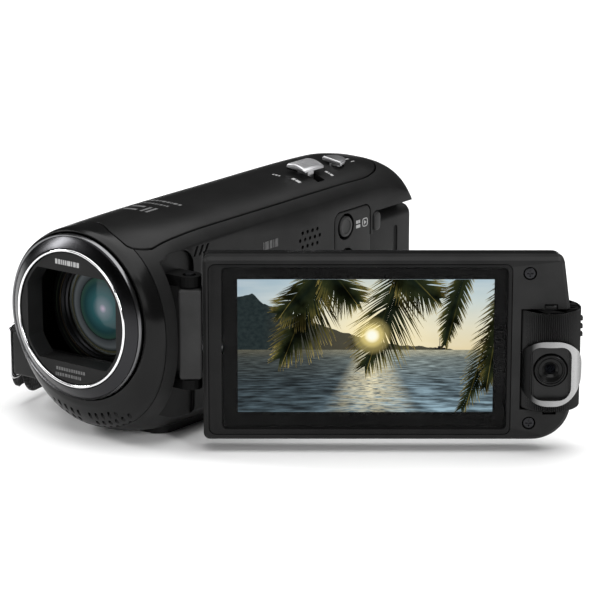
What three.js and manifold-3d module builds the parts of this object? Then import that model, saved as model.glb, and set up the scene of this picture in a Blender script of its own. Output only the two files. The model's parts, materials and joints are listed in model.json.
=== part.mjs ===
// A palm-size camcorder with a fold-out screen and a second, turning camera at the screen's end.
// Millimetres. +Z up, -Y towards the lens, +X towards the screen side. The origin is on the
// underside, below the optical axis, half way along the body.
import * as THREE from 'three';
import { mergeVertices } from 'three/addons/utils/BufferGeometryUtils.js';
import Module from 'manifold-3d';

const wasm = await Module();
wasm.setup();

// ---- driving dimensions -------------------------------------------------------------------
const GAP = 0.3; // clearance between neighbouring pieces
const WALL = 1.8; // moulded wall
const FAR = 90; // reach of a cutting block
const AXIS_Z = 34.4; // optical axis above the base

// Body sections: y, top, bottom, screen-side half width, grip-side half width, squareness.
const SECTIONS = [
  { y: -61.4, top: 57.2, bottom: 10.9, right: 23.2, left: 23.2, square: 2.0 },
  { y: -59.5, top: 57.8, bottom: 7.0, right: 24.4, left: 24.0, square: 2.05 },
  { y: -56.0, top: 58.0, bottom: 3.4, right: 25.4, left: 24.6, square: 2.15 },
  { y: -50.0, top: 58.2, bottom: 1.4, right: 25.5, left: 25.2, square: 2.4 },
  { y: -43.0, top: 58.4, bottom: 0.4, right: 24.6, left: 25.6, square: 2.75 },
  { y: -30.0, top: 58.6, bottom: 0.2, right: 24.0, left: 26.0, square: 3 },
  { y: 0.0, top: 58.8, bottom: 0.2, right: 24.0, left: 26.0, square: 3 },
  { y: 30.0, top: 59.0, bottom: 0.2, right: 24.0, left: 26.0, square: 3 },
  { y: 44.0, top: 58.8, bottom: 0.3, right: 23.8, left: 25.8, square: 3 },
  { y: 52.0, top: 57.7, bottom: 0.8, right: 23.4, left: 25.2, square: 3 },
  { y: 58.0, top: 56.1, bottom: 2.4, right: 22.8, left: 23.6, square: 2.9 },
  { y: 61.4, top: 53.9, bottom: 5.0, right: 21.0, left: 21.0, square: 2.8 },
  { y: 63.0, top: 51.6, bottom: 8.0, right: 18.6, left: 18.4, square: 2.7 },
];
const AROUND = 32; // points around a body section
const GRIP_SHOULDER = 2.0; // squareness of the upper grip side, which is rounder
const BACK_CORNER = 0.8; // how square the top cover's back end is, 1 being round
const PARTING_Y = -56.3; // seam between the front housing and the side covers
const SEAM_X = -2; // seam between the two side covers

// Side wall that the screen folds against.
const SIDE_X = 19.6;
const BAY_FRONT_Y = -51.8;
const BAY_TOP_Z = 52.6;
const HINGE_POCKET_X = 18.7;
const HINGE_POCKET_BACK_Y = -38;

// Lens front.
const RING_R = 18.5;
const RING_FRONT_Y = -64.7;
const BEZEL_R = 22.1;
const WINDOW_HALF_X = 15.2;
const WINDOW_HALF_Z = 12.2;

// Screen hinge, and the panel in its own frame: x from the hinge pin, z from the tilt axis.
const HINGE = new THREE.Vector3(25.1, -46.4, 27.85);
const OPEN_ANGLE = 52.4; // degrees from folded to the resting position
const PANEL_START = 3.5;
const PANEL_END = 98.8;
const PANEL_HALF_Z = 24.45;
const PANEL_HALF_Y = 4.6;
const PANEL_SPLIT_Y = -0.6;
const PANEL_SWEEP_R = 25.3; // room for the panel to turn about its own axis
const GLASS_X = [8.6, 82.2];
const GLASS_Z = [-21.2, 22.5];
const BEZEL_END_X = 83.2;

// Turning camera at the panel's end.
const DRUM_X = 93;
const DRUM_R = 8.1;
const DRUM_Z = [-15.95, 10.45];
const DRUM_FACE_Z = -5.55; // middle of the bright ring
const DRUM_LENS_Z = -4.95;
const DRUM_ROOM = 1.4; // gap round the drum where the side wall is hollowed for it
const NUB_Z = [7.2, 5.1, 3.0]; // raised finger marks above the second lens

// Battery bay and battery.
const BATTERY_X = [-16.6, 15.6];
const BATTERY_Y = [44.0, 65.4];
const BATTERY_Z = [2.2, 43.0];
const BAY_Y = 43.4;
const BAY_X = -19.4;
const BAY_Z = 45.6;

// Controls.
const ZOOM_LEVER = { x: 8.7, y: 24.2, halfX: 2.7, halfY: 4.5, travel: 3 };
const PHOTO_BUTTON = { x: 8.7, y: 35.9, z: 59.38, halfX: 3.2, deep: 5, slope: 0.15 };
const RECORD_BUTTON = { x: -6, z: 49.4, r: 2.9 };
const WALL_BUTTONS = [
  { name: 'playback_button', y: 28.4, z: 43.8 },
  { name: 'effect_button', y: 28.7, z: 33.9 },
  { name: 'power_button', y: 28.9, z: 24.0 },
];
const WALL_BUTTON_R = 3.0;
const BUTTON_PLATE = { y: [23.3, 39.8], z: [17.5, 48.2] };
const SPEAKER = { y: 12, z: 43.8, pitch: 2.2, holeR: 0.65 };

// Grip belt, seen from above: x and y along its middle line.
const BELT_LINE = [[-33.4, -51.6], [-37.6, -42], [-40.8, -22], [-41.6, 2], [-39.4, 26], [-32.6, 44]];
const BELT_Z = [5, 24];
const PAD_Z = [2.5, 33];
const LUG_FRONT = { x: [-32.2, -22], y: [-53, -48.5], z: [11, 23] };
const LUG_REAR = { x: [-31.2, -22], y: [41.5, 46], z: [11, 23] };

// Underside.
const BASE = { x: [-15, 13], y: [-44, 40], thick: 2.6 };
const TRIPOD = { x: -1, y: 12, boreR: 3.15 };
const CARD_DOOR = { x: [-11, 9], y: [-38, -12] };

// ---- solids -------------------------------------------------------------------------------
function toManifold(geometry) {
  const bare = geometry.clone();
  bare.deleteAttribute('normal');
  bare.deleteAttribute('uv');
  const merged = mergeVertices(bare, 1e-4);
  const mesh = new wasm.Mesh({
    numProp: 3,
    vertProperties: new Float32Array(merged.attributes.position.array),
    triVerts: new Uint32Array(merged.index.array),
  });
  return new wasm.Manifold(mesh);
}

function toGeometry(solid) {
  const mesh = solid.getMesh();
  const geometry = new THREE.BufferGeometry();
  geometry.setAttribute('position', new THREE.BufferAttribute(mesh.vertProperties, 3));
  geometry.setIndex(new THREE.BufferAttribute(mesh.triVerts, 1));
  return geometry;
}

function box([x0, x1], [y0, y1], [z0, z1]) {
  const geometry = new THREE.BoxGeometry(x1 - x0, y1 - y0, z1 - z0);
  geometry.translate((x0 + x1) / 2, (y0 + y1) / 2, (z0 + z1) / 2);
  return toManifold(geometry);
}

// A cylinder or cone frustum along one axis, from a to b on that axis.
function rod(axis, [a, b], [u, v], radiusA, radiusB = radiusA, sides = 18) {
  const geometry = new THREE.CylinderGeometry(radiusB, radiusA, b - a, sides);
  geometry.translate(0, (a + b) / 2, 0);
  if (axis === 'x') geometry.rotateZ(-Math.PI / 2).translate(0, u, v);
  if (axis === 'y') geometry.translate(u, 0, v);
  if (axis === 'z') geometry.rotateX(Math.PI / 2).translate(u, v, 0);
  return toManifold(geometry);
}

function tube(axis, span, centre, outerR, innerR, sides = 24) {
  const bore = rod(axis, [span[0] - 1, span[1] + 1], centre, innerR, innerR, sides);
  return rod(axis, span, centre, outerR, outerR, sides).subtract(bore);
}

// A ring turned about the optical axis: points are [radius, y].
function turned(points, sides = 36) {
  const profile = [...points, points[0]].map(([r, y]) => new THREE.Vector2(r, y));
  const geometry = new THREE.LatheGeometry(profile, sides);
  geometry.translate(0, 0, AXIS_Z);
  const solid = toManifold(geometry);
  if (solid.volume() > 0) return solid;
  profile.reverse();
  return toManifold(new THREE.LatheGeometry(profile, sides).translate(0, 0, AXIS_Z));
}

function roundedRect([u0, u1], [v0, v1], radius) {
  const shape = new THREE.Shape();
  shape.moveTo(u0 + radius, v0);
  shape.lineTo(u1 - radius, v0);
  shape.absarc(u1 - radius, v0 + radius, radius, -Math.PI / 2, 0);
  shape.lineTo(u1, v1 - radius);
  shape.absarc(u1 - radius, v1 - radius, radius, 0, Math.PI / 2);
  shape.lineTo(u0 + radius, v1);
  shape.absarc(u0 + radius, v1 - radius, radius, Math.PI / 2, Math.PI);
  shape.lineTo(u0, v0 + radius);
  shape.absarc(u0 + radius, v0 + radius, radius, Math.PI, 1.5 * Math.PI);
  return shape;
}

const TO_AXIS = {
  x: new THREE.Matrix4().set(0, 0, 1, 0, 1, 0, 0, 0, 0, 1, 0, 0, 0, 0, 0, 1),
  y: new THREE.Matrix4().set(1, 0, 0, 0, 0, 0, 1, 0, 0, 1, 0, 0, 0, 0, 0, 1),
  z: new THREE.Matrix4(),
};

// Extrudes a shape drawn in the plane across an axis. In shape coordinates u, v are
// x, z for axis y; y, z for axis x; x, y for axis z.
function extruded(shape, axis, [a, b], { bevel = 0, curveSegments = 3 } = {}) {
  const geometry = new THREE.ExtrudeGeometry(shape, {
    depth: b - a - 2 * bevel,
    bevelEnabled: bevel > 0,
    bevelThickness: bevel,
    bevelSize: bevel,
    bevelOffset: -bevel,
    bevelSegments: 1,
    curveSegments,
  });
  geometry.translate(0, 0, a + bevel);
  geometry.applyMatrix4(TO_AXIS[axis]);
  if (axis === 'y') flip(geometry);
  return toManifold(geometry);
}

function flip(geometry) {
  const source = geometry.index ? geometry.toNonIndexed() : geometry;
  const positions = source.attributes.position.array;
  for (let i = 0; i < positions.length; i += 9) {
    for (let k = 0; k < 3; k += 1) {
      [positions[i + 3 + k], positions[i + 6 + k]] = [positions[i + 6 + k], positions[i + 3 + k]];
    }
  }
  geometry.setIndex(null);
  geometry.setAttribute('position', new THREE.BufferAttribute(positions, 3));
  geometry.deleteAttribute('normal');
  geometry.deleteAttribute('uv');
}

// ---- body envelope ------------------------------------------------------------------------
function sectionPoint(section, inset, turn) {
  const c = Math.cos(turn);
  const s = Math.sin(turn);
  const halfHeight = (section.top - section.bottom) / 2 - inset;
  const middle = (section.top + section.bottom) / 2;
  const halfWidth = (c > 0 ? section.right : section.left) - inset;
  const power = 2 / (c < 0 && s > 0 ? GRIP_SHOULDER : section.square);
  return [
    halfWidth * Math.sign(c) * Math.abs(c) ** power,
    middle + halfHeight * Math.sign(s) * Math.abs(s) ** power,
  ];
}

function envelope(inset) {
  const last = SECTIONS.length - 1;
  const positions = [];
  SECTIONS.forEach((section, i) => {
    const y = section.y + (i === 0 ? inset : 0) - (i === last ? inset : 0);
    for (let k = 0; k < AROUND; k += 1) {
      const [x, z] = sectionPoint(section, inset, (k / AROUND) * 2 * Math.PI);
      positions.push(x, y, z);
    }
  });
  const front = positions.length / 3;
  positions.push(0, SECTIONS[0].y + inset, AXIS_Z);
  positions.push(0, SECTIONS[last].y - inset, (SECTIONS[last].top + SECTIONS[last].bottom) / 2);
  const index = [];
  for (let k = 0; k < AROUND; k += 1) {
    const next = (k + 1) % AROUND;
    for (let i = 0; i < last; i += 1) {
      const [a, b] = [i * AROUND + k, i * AROUND + next];
      index.push(a, b, a + AROUND, b, b + AROUND, a + AROUND);
    }
    index.push(front, next, k);
    index.push(front + 1, last * AROUND + k, last * AROUND + next);
  }
  const geometry = new THREE.BufferGeometry();
  geometry.setAttribute('position', new THREE.Float32BufferAttribute(positions, 3));
  geometry.setIndex(index.reverse());
  return toManifold(geometry);
}

// The room that the open screen needs to turn about its own axis: a round hollow along the panel.
function panelSweep(radius, start) {
  const length = 80;
  const geometry = new THREE.CylinderGeometry(radius, radius, length, 36);
  geometry.rotateZ(-Math.PI / 2).translate(start + length / 2, 0, 0);
  geometry.rotateZ(((90 - OPEN_ANGLE) * Math.PI) / 180);
  geometry.translate(HINGE.x, HINGE.y, HINGE.z);
  return toManifold(geometry);
}

// The hollow beside the drum's place when the screen is folded in.
function drumHollow(radius) {
  const height = [HINGE.z + DRUM_Z[0] - 1, HINGE.z + DRUM_Z[1] + 1];
  return rod('z', height, [HINGE.x, HINGE.y + DRUM_X], radius);
}

// The top cover seen from above: straight sides, a rounded back, and a front edge that dips
// back over the lens barrel.
function topCoverOutline(grow) {
  const [left, right] = [-17 - grow, 16.5 + grow];
  const [front, straightEnd, back] = [-57 - grow, 38, 55.6 + grow];
  const middle = (left + right) / 2;
  const half = (right - left) / 2;
  const points = [];
  const backSteps = 10;
  for (let i = 0; i <= backSteps; i += 1) {
    const turn = (i / backSteps) * Math.PI;
    const across = Math.sign(Math.cos(turn)) * Math.abs(Math.cos(turn)) ** BACK_CORNER;
    const along = (back - straightEnd) * Math.sin(turn) ** BACK_CORNER;
    points.push(new THREE.Vector2(middle + half * across, straightEnd + along));
  }
  points.push(new THREE.Vector2(left, -51), new THREE.Vector2(left + 1.6, -55.2));
  const frontSteps = 8;
  for (let i = 0; i <= frontSteps; i += 1) {
    const x = left + 4.5 + ((right - left - 9) * i) / frontSteps;
    const dip = 3.4 * Math.exp(-((x / 6) ** 2));
    points.push(new THREE.Vector2(x, front + dip));
  }
  points.push(new THREE.Vector2(right - 1.6, -55.2), new THREE.Vector2(right, -51));
  return new THREE.Shape(points);
}

function bodyShell() {
  const innerSide = box([SIDE_X - WALL, FAR], [BAY_FRONT_Y - WALL, FAR], [-FAR, BAY_TOP_Z + WALL]);
  const hollow = envelope(WALL)
    .subtract(innerSide)
    .subtract(panelSweep(PANEL_SWEEP_R + WALL, PANEL_START - 0.3 - WALL))
    .subtract(drumHollow(DRUM_R + DRUM_ROOM + WALL));
  const foldedBay = box([SIDE_X, FAR], [BAY_FRONT_Y, FAR], [-FAR, BAY_TOP_Z]);
  const pocket = extruded(
    roundedRect([BAY_FRONT_Y, HINGE_POCKET_BACK_Y], [4, BAY_TOP_Z - 1.2], 5),
    'x',
    [HINGE_POCKET_X, FAR],
  );
  const batteryBay = box([BAY_X, FAR], [BAY_Y, FAR], [-FAR, BAY_Z]);
  const lensHole = rod('y', [-FAR, -54], [0, AXIS_Z], BEZEL_R + GAP + 0.1, BEZEL_R + GAP + 0.1, 36);
  return envelope(0)
    .subtract(hollow)
    .subtract(foldedBay)
    .subtract(pocket)
    .subtract(batteryBay)
    .subtract(panelSweep(PANEL_SWEEP_R, PANEL_START - 0.3))
    .subtract(drumHollow(DRUM_R + DRUM_ROOM))
    .subtract(lensHole);
}

function baseBlock(grow) {
  const outline = roundedRect(
    [BASE.x[0] - grow, BASE.x[1] + grow],
    [BASE.y[0] - grow, BASE.y[1] + grow],
    4,
  );
  return extruded(outline, 'z', [grow > 0 ? -5 : 0, BASE.thick + grow]);
}

// The skin of the envelope under the top cover's outline.
function topCoverBlock(grow) {
  return extruded(topCoverOutline(grow), 'z', [42, 70]).subtract(envelope(1.25 * WALL));
}

function frontRegion(grow) {
  const face = box([-FAR, FAR], [-FAR, PARTING_Y + grow], [-FAR, FAR]);
  const tongue = box([-11.5 - grow, 11.5 + grow], [-60, -54.2 + grow], [50, FAR]);
  return face.add(tongue);
}

// ---- the pieces of the body ---------------------------------------------------------------
function micHoles() {
  const holes = [];
  const rows = [-58.2, -55.4];
  rows.forEach((y, row) => {
    for (const side of [-1, 1]) {
      for (let i = 0; i < 5; i += 1) {
        const x = side * (2.2 + i * 2.4 + row * 1.2);
        holes.push(rod('z', [-3, 9], [x, y], 0.55, 0.55, 6));
      }
    }
  });
  return wasm.Manifold.union(holes);
}

function frontHousing(shell) {
  return shell
    .intersect(frontRegion(0))
    .subtract(topCoverBlock(1.5 * GAP))
    .subtract(micHoles());
}

function topCover(shell) {
  const leverSlot = box(
    [ZOOM_LEVER.x - 5.6, ZOOM_LEVER.x + 5.6],
    [ZOOM_LEVER.y - 1.6, ZOOM_LEVER.y + 1.6],
    [50, 70],
  );
  const photoHole = rod('z', [50, 70], [PHOTO_BUTTON.x, PHOTO_BUTTON.y + 2.2], 2.3);
  return shell
    .intersect(topCoverBlock(0))
    .subtract(leverSlot)
    .subtract(photoHole);
}

function sideCoverBlank(shell) {
  return shell
    .subtract(frontRegion(GAP))
    .subtract(topCoverBlock(1.5 * GAP))
    .subtract(baseBlock(GAP))
    .subtract(rod('y', [40, 70], [RECORD_BUTTON.x, RECORD_BUTTON.z], RECORD_BUTTON.r + GAP));
}

function speakerHoles() {
  const holes = [];
  [4, 5, 4].forEach((count, row) => {
    for (let i = 0; i < count; i += 1) {
      const y = SPEAKER.y + (i - (count - 1) / 2) * SPEAKER.pitch;
      const z = SPEAKER.z + (1 - row) * SPEAKER.pitch * 0.9;
      holes.push(rod('x', [SIDE_X - 4, SIDE_X + 2], [y, z], SPEAKER.holeR, SPEAKER.holeR, 6));
    }
  });
  return wasm.Manifold.union(holes);
}

function buttonPlateBlock(grow, span) {
  const y = [BUTTON_PLATE.y[0] - grow, BUTTON_PLATE.y[1] + grow];
  const z = [BUTTON_PLATE.z[0] - grow, BUTTON_PLATE.z[1] + grow];
  return extruded(roundedRect(y, z, 2.4), 'x', span);
}

function leftCover(shell) {
  const latchHole = box([SIDE_X - 4, FAR], [41.0, 50], [37.2, 45.7]);
  const terminalHole = box([SIDE_X - 4, FAR], [-6.3, 16.3], [9.7, 30.3]);
  return sideCoverBlank(shell)
    .subtract(box([-FAR, SEAM_X + GAP / 2], [-FAR, FAR], [-FAR, FAR]))
    .subtract(speakerHoles())
    .subtract(buttonPlateBlock(GAP, [SIDE_X - 4, FAR]))
    .subtract(latchHole)
    .subtract(terminalHole);
}

function rightCover(shell) {
  return sideCoverBlank(shell).subtract(box([SEAM_X - GAP / 2, FAR], [-FAR, FAR], [-FAR, FAR]));
}

function baseCover() {
  const cardHole = box(
    [CARD_DOOR.x[0] - GAP, CARD_DOOR.x[1] + GAP],
    [CARD_DOOR.y[0] - GAP, CARD_DOOR.y[1] + GAP],
    [-1, BASE.thick + 1],
  );
  return baseBlock(0)
    .subtract(cardHole)
    .subtract(rod('z', [-1, BASE.thick + 1], [TRIPOD.x, TRIPOD.y], 5.6));
}

function tripodSocket() {
  return tube('z', [0.1, 9], [TRIPOD.x, TRIPOD.y], 5.2, TRIPOD.boreR);
}

function rearFrame() {
  const back = box([BAY_X - 1.8, SIDE_X - WALL], [BAY_Y - 1.7, BAY_Y], [3, BAY_Z + 1.8]);
  const side = box([BAY_X - 1.8, BAY_X - 0.1], [BAY_Y - 1.7, FAR], [3, BAY_Z + 1.8]);
  const roof = box([BAY_X - 1.8, FAR], [BAY_Y - 1.7, FAR], [BAY_Z + 0.1, BAY_Z + 1.8]);
  const contactHole = box([-8, 8], [BAY_Y - 3, BAY_Y + 1], [12, 22]);
  return back
    .add(side)
    .add(roof)
    .intersect(envelope(WALL + GAP))
    .subtract(drumHollow(DRUM_R + DRUM_ROOM + WALL + GAP))
    .subtract(box([SIDE_X - WALL - GAP, FAR], [-FAR, FAR], [-FAR, FAR]))
    .subtract(contactHole)
    .subtract(rod('y', [40, 70], [RECORD_BUTTON.x, RECORD_BUTTON.z], RECORD_BUTTON.r + GAP));
}

// ---- lens front ---------------------------------------------------------------------------
function lensBezel() {
  return turned([
    [RING_R + 0.25, -64.4],
    [BEZEL_R - 0.4, -62.6],
    [BEZEL_R, -62.0],
    [BEZEL_R, -58.6],
    [BEZEL_R - 1.1, -58.6],
    [BEZEL_R - 1.1, -62.2],
    [RING_R + 0.25, -62.2],
  ]);
}

function lensTrimRing() {
  return turned([
    [RING_R - 0.75, RING_FRONT_Y + 0.3],
    [RING_R - 0.3, RING_FRONT_Y],
    [RING_R, RING_FRONT_Y + 0.3],
    [RING_R, -62.3],
    [RING_R - 0.75, -62.3],
  ]);
}

function windowBlock(span) {
  return box(
    [-WINDOW_HALF_X, WINDOW_HALF_X],
    span,
    [AXIS_Z - WINDOW_HALF_Z, AXIS_Z + WINDOW_HALF_Z],
  );
}

function lensPlate() {
  const plate = turned([
    [0, -64.1],
    [RING_R - 1.0, -64.1],
    [RING_R - 1.0, -62.0],
    [BEZEL_R - 1.4, -62.0],
    [BEZEL_R - 1.4, -58.4],
    [0, -58.4],
  ]);
  return plate.subtract(windowBlock([-70, -50]));
}

// One leaf of the lens barrier, parked clear of the window above (+1) or below (-1) the axis.
function barrierLeaf(side, layerY) {
  const near = WINDOW_HALF_Z + 0.1;
  const far = near + 6.3;
  const span = side > 0 ? [AXIS_Z + near, AXIS_Z + far] : [AXIS_Z - far, AXIS_Z - near];
  return box([-WINDOW_HALF_X + 0.3, WINDOW_HALF_X - 0.3], [layerY, layerY + 0.6], span)
    .intersect(rod('y', [-60, -50], [0, AXIS_Z], 21.2, 21.2, 32));
}

function frontRetainer() {
  return turned([
    [13.4, -53.0],
    [16.4, -53.0],
    [16.4, -50.6],
    [12.6, -50.6],
  ]);
}

function frontElement() {
  return turned([
    [0, -51.8],
    [6, -51.3],
    [12.2, -50.2],
    [12.2, -46.6],
    [0, -46.6],
  ]);
}

function lensBarrel() {
  return turned([
    [13.0, -50.2],
    [17.2, -50.2],
    [17.2, -39.4],
    [10.6, -38.0],
    [9.2, -38.0],
    [9.2, -40.4],
    [13.0, -45.6],
  ]);
}

function rearLensBarrel() {
  return tube('y', [-37.6, 6], [0, AXIS_Z], 9.9, 8.6);
}

function lensGroup(y0, y1) {
  return rod('y', [y0, y1], [0, AXIS_Z], 7.9, 7.9, 24);
}

// ---- controls -----------------------------------------------------------------------------
function zoomLever() {
  const { x, y, halfX, halfY } = ZOOM_LEVER;
  const saddle = new THREE.Shape();
  saddle.moveTo(x - halfX - 0.6, 60.2);
  saddle.lineTo(x + halfX + 0.4, 59.5);
  saddle.quadraticCurveTo(x + halfX + 0.7, 60.0, x + halfX, 60.5);
  saddle.quadraticCurveTo(x, 61.9, x - halfX, 61.5);
  saddle.quadraticCurveTo(x - halfX - 0.8, 61.4, x - halfX - 0.6, 60.2);
  const plate = extruded(saddle, 'y', [y - halfY, y + halfY]);
  const neck = box([x - 1.8, x + 1.8], [y - 1.3, y + 1.3], [52.6, 60.4]);
  const foot = box([x - 2.6, x + 2.6], [y - 2.6, y + 2.6], [52.2, 53.4]);
  return plate.add(neck).add(foot);
}

function photoButton() {
  const { x, y, z, halfX, deep, slope } = PHOTO_BUTTON;
  const outline = new THREE.Shape();
  outline.moveTo(-halfX, 0);
  outline.lineTo(halfX, 0);
  outline.absellipse(0, 0, halfX, deep, 0, Math.PI);
  const cap = new THREE.ExtrudeGeometry(outline, {
    depth: 0.6,
    bevelThickness: 0.3,
    bevelSize: 0.3,
    bevelOffset: -0.3,
    bevelSegments: 1,
    curveSegments: 8,
  });
  cap.rotateY(slope).translate(x, y, z);
  const stem = rod('z', [53.6, z], [x, y + 2.2], 1.9);
  return toManifold(cap).add(stem);
}

function recordButton() {
  const { x, z, r } = RECORD_BUTTON;
  return rod('y', [58, 64], [x, z], r);
}

function wallButton({ y, z }) {
  return rod('x', [SIDE_X - 2.4, SIDE_X + 0.15], [y, z], WALL_BUTTON_R);
}

function buttonPlate() {
  const holes = WALL_BUTTONS.map(({ y, z }) => rod('x', [SIDE_X - 4, FAR], [y, z], WALL_BUTTON_R + 0.35));
  return buttonPlateBlock(0, [SIDE_X - 1.6, SIDE_X]).subtract(wasm.Manifold.union(holes));
}

function batteryRelease() {
  return extruded(roundedRect([41.4, 44.6], [39.9, 45.3], 1.5), 'x', [SIDE_X - 2, SIDE_X + 0.3]);
}

function terminalCover() {
  return extruded(roundedRect([-6, 16], [10, 30], 1.5), 'x', [SIDE_X - 1.6, SIDE_X]);
}

function terminalBlock() {
  const block = box([13.6, 17.4], [-5, 15], [11, 29]);
  const openings = [
    box([15, 18], [-2.4, 3.4], [14, 17]),
    box([15, 18], [-2.4, 3.4], [21, 25]),
    rod('x', [15, 18], [9.6, 20], 2.6),
  ];
  return block.subtract(wasm.Manifold.union(openings));
}

// ---- battery ------------------------------------------------------------------------------
function battery() {
  const side = extruded(roundedRect(BATTERY_X, BATTERY_Z, 3), 'y', BATTERY_Y, { bevel: 0.6 });
  const contacts = box([-7, 7], [BATTERY_Y[0] - 1, BATTERY_Y[0] + 2.6], [12.5, 21.5]);
  const groove = box([BATTERY_X[1] - 0.6, FAR], [56.5, 58.5], [-1, 38]);
  return side.subtract(contacts).subtract(groove);
}

function batteryContacts() {
  const block = box([-6.4, 6.4], [BAY_Y - 1.8, BAY_Y + 2.2], [13, 21]);
  const flange = box([-9.5, 9.5], [BAY_Y - 3.2, BAY_Y - 2.0], [10.5, 23.5]);
  return block.add(box([-6.4, 6.4], [BAY_Y - 2.4, BAY_Y - 1.6], [13, 21])).add(flange);
}

// ---- screen hinge -------------------------------------------------------------------------
function hingeBracket() {
  const [x, y] = [HINGE.x, HINGE.y];
  const ear = (z0, z1) => rod('z', [z0, z1], [x, y], 3.2)
    .add(box([HINGE_POCKET_X + 0.3, x], [y - 3.1, y + 3.1], [z0, z1]));
  const plate = box([HINGE_POCKET_X + 0.3, 19.9], [y - 3.1, y + 3.1], [16.4, 46.6]);
  return plate
    .add(ear(16.4, 19.0))
    .add(ear(43.8, 46.6))
    .subtract(rod('z', [10, 50], [x, y], 1.8, 1.8, 12));
}

function hingePin() {
  return rod('z', [15.9, 47.1], [HINGE.x, HINGE.y], 1.45, 1.45, 12);
}

function hingeBlock() {
  const body = extruded(roundedRect([-2.7, 3.2], [-8.4, 15.5], 0.8), 'y', [-4.1, 3.4]);
  return body
    .subtract(rod('z', [-20, 20], [0, 0], 1.85, 1.85, 12))
    .subtract(rod('x', [2.1, 8], [0, 0], 2.5, 2.5, 20));
}

function tiltShaft() {
  return rod('x', [2.4, 10.4], [0, 0], 2.15, 2.15, 20).add(rod('x', [9, 10.4], [0, 0], 3.2, 3.2, 20));
}

// ---- screen panel, in the panel's frame ----------------------------------------------------
function panelOutline(inset) {
  const [x0, x1] = [PANEL_START + inset, PANEL_END - inset];
  const half = PANEL_HALF_Z - inset;
  const shape = new THREE.Shape();
  const soft = 1.7;
  shape.moveTo(x0 + soft, -half);
  shape.lineTo(x1 - 10, -half);
  shape.absarc(x1 - 10, -half + 10, 10, -Math.PI / 2, 0);
  shape.lineTo(x1, 6);
  shape.lineTo(x1 - 1.8, half - 3);
  shape.quadraticCurveTo(x1 - 2.1, half, x1 - 5.1, half);
  shape.lineTo(x0 + soft, half);
  shape.absarc(x0 + soft, half - soft, soft, Math.PI / 2, Math.PI);
  shape.lineTo(x0, -half + soft);
  shape.absarc(x0 + soft, -half + soft, soft, Math.PI, 1.5 * Math.PI);
  return shape;
}

function drumClearance() {
  const reach = [DRUM_Z[0] - GAP, DRUM_Z[1] + GAP];
  const slot = box([DRUM_X, FAR * 2], [-20, 20], reach);
  const pivots = rod('z', [DRUM_Z[0] - 1.6, DRUM_Z[1] + 1.6], [DRUM_X, 0], 4.9);
  const pins = rod('z', [DRUM_Z[0] - 5.2, DRUM_Z[1] + 5.2], [DRUM_X, 0], 1.8, 1.8, 12);
  return rod('z', reach, [DRUM_X, 0], DRUM_R + 0.85, DRUM_R + 0.85, 28).add(slot).add(pivots).add(pins);
}

const SCREWS = [
  { name: 'screen_screw_upper', x: 87.4, z: 20.2 },
  { name: 'screen_screw_lower', x: 87.8, z: -19.9 },
];

function screwHoles() {
  return wasm.Manifold.union(
    SCREWS.map(({ x, z }) => rod('y', [-6, 3], [x, z], 1.75, 1.75, 12)),
  );
}

function tiltBore() {
  return rod('x', [0, 8.6], [0, 0], 2.5, 2.5, 20).add(rod('x', [8.2, 11], [0, 0], 3.5, 3.5, 20));
}

function screenBackCover() {
  const shell = extruded(panelOutline(0), 'y', [PANEL_SPLIT_Y + GAP, PANEL_HALF_Y], { bevel: 1.2 });
  const skirt = extruded(panelOutline(0), 'y', [PANEL_SPLIT_Y + GAP, 2.6]);
  const hollow = box([12.4, 82], [-5, PANEL_HALF_Y - 1.6], [-21.5, 21.5]);
  return shell
    .add(skirt)
    .subtract(hollow)
    .subtract(drumClearance())
    .subtract(tiltBore())
    .subtract(screwHoles());
}

function screenFrontFrame() {
  const blank = extruded(panelOutline(0), 'y', [-PANEL_HALF_Y, PANEL_SPLIT_Y], { bevel: 0.7 });
  const skirt = extruded(panelOutline(0), 'y', [-PANEL_HALF_Y + 0.9, PANEL_SPLIT_Y]);
  const recess = extruded(
    roundedRect([PANEL_START + 1.2, BEZEL_END_X], [-PANEL_HALF_Z + 1.2, PANEL_HALF_Z - 1.6], 2),
    'y',
    [-10, -PANEL_HALF_Y + 1.5],
  );
  const opening = box([12.4, 80], [-10, 5], [-19, 20]);
  return blank
    .add(skirt)
    .subtract(recess)
    .subtract(opening)
    .subtract(drumClearance())
    .subtract(tiltBore())
    .subtract(screwHoles());
}

function screenBezel() {
  const span = [-PANEL_HALF_Y + 0.05, -PANEL_HALF_Y + 1.2];
  const blank = extruded(
    roundedRect([PANEL_START + 1.5, BEZEL_END_X - GAP], [-PANEL_HALF_Z + 1.5, PANEL_HALF_Z - 1.9], 1.8),
    'y',
    span,
  );
  const glassPlace = roundedRect(
    [GLASS_X[0] - 0.35, GLASS_X[1] - 0.2],
    [GLASS_Z[0] - 0.35, GLASS_Z[1] - 0.6],
    1.4,
  );
  return blank.subtract(extruded(glassPlace, 'y', [-10, 5]));
}

function screenGlass() {
  const outline = roundedRect([GLASS_X[0], GLASS_X[1] - 0.55], [GLASS_Z[0], GLASS_Z[1] - 0.95], 1.2);
  return extruded(outline, 'y', [-PANEL_HALF_Y + 0.35, -PANEL_HALF_Y + 1.15]);
}

function displayPanel() {
  return box([12.8, 79.4], [-PANEL_HALF_Y + 1.8, 2.4], [-18.6, 19.6]);
}

function screenScrew({ x, z }) {
  const cross = box([x - 0.9, x + 0.9], [-6, -4.0], [z - 0.2, z + 0.2])
    .add(box([x - 0.2, x + 0.2], [-6, -4.0], [z - 0.9, z + 0.9]));
  return rod('y', [-PANEL_HALF_Y + 0.15, 2.6], [x, z], 1.45, 1.45, 12).subtract(cross);
}

// ---- turning camera, in the panel's frame ---------------------------------------------------
function drumFaceOutline(halfX, halfZ, radius, middle = DRUM_FACE_Z) {
  return roundedRect([DRUM_X - halfX, DRUM_X + halfX], [middle - halfZ, middle + halfZ], radius);
}

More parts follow.
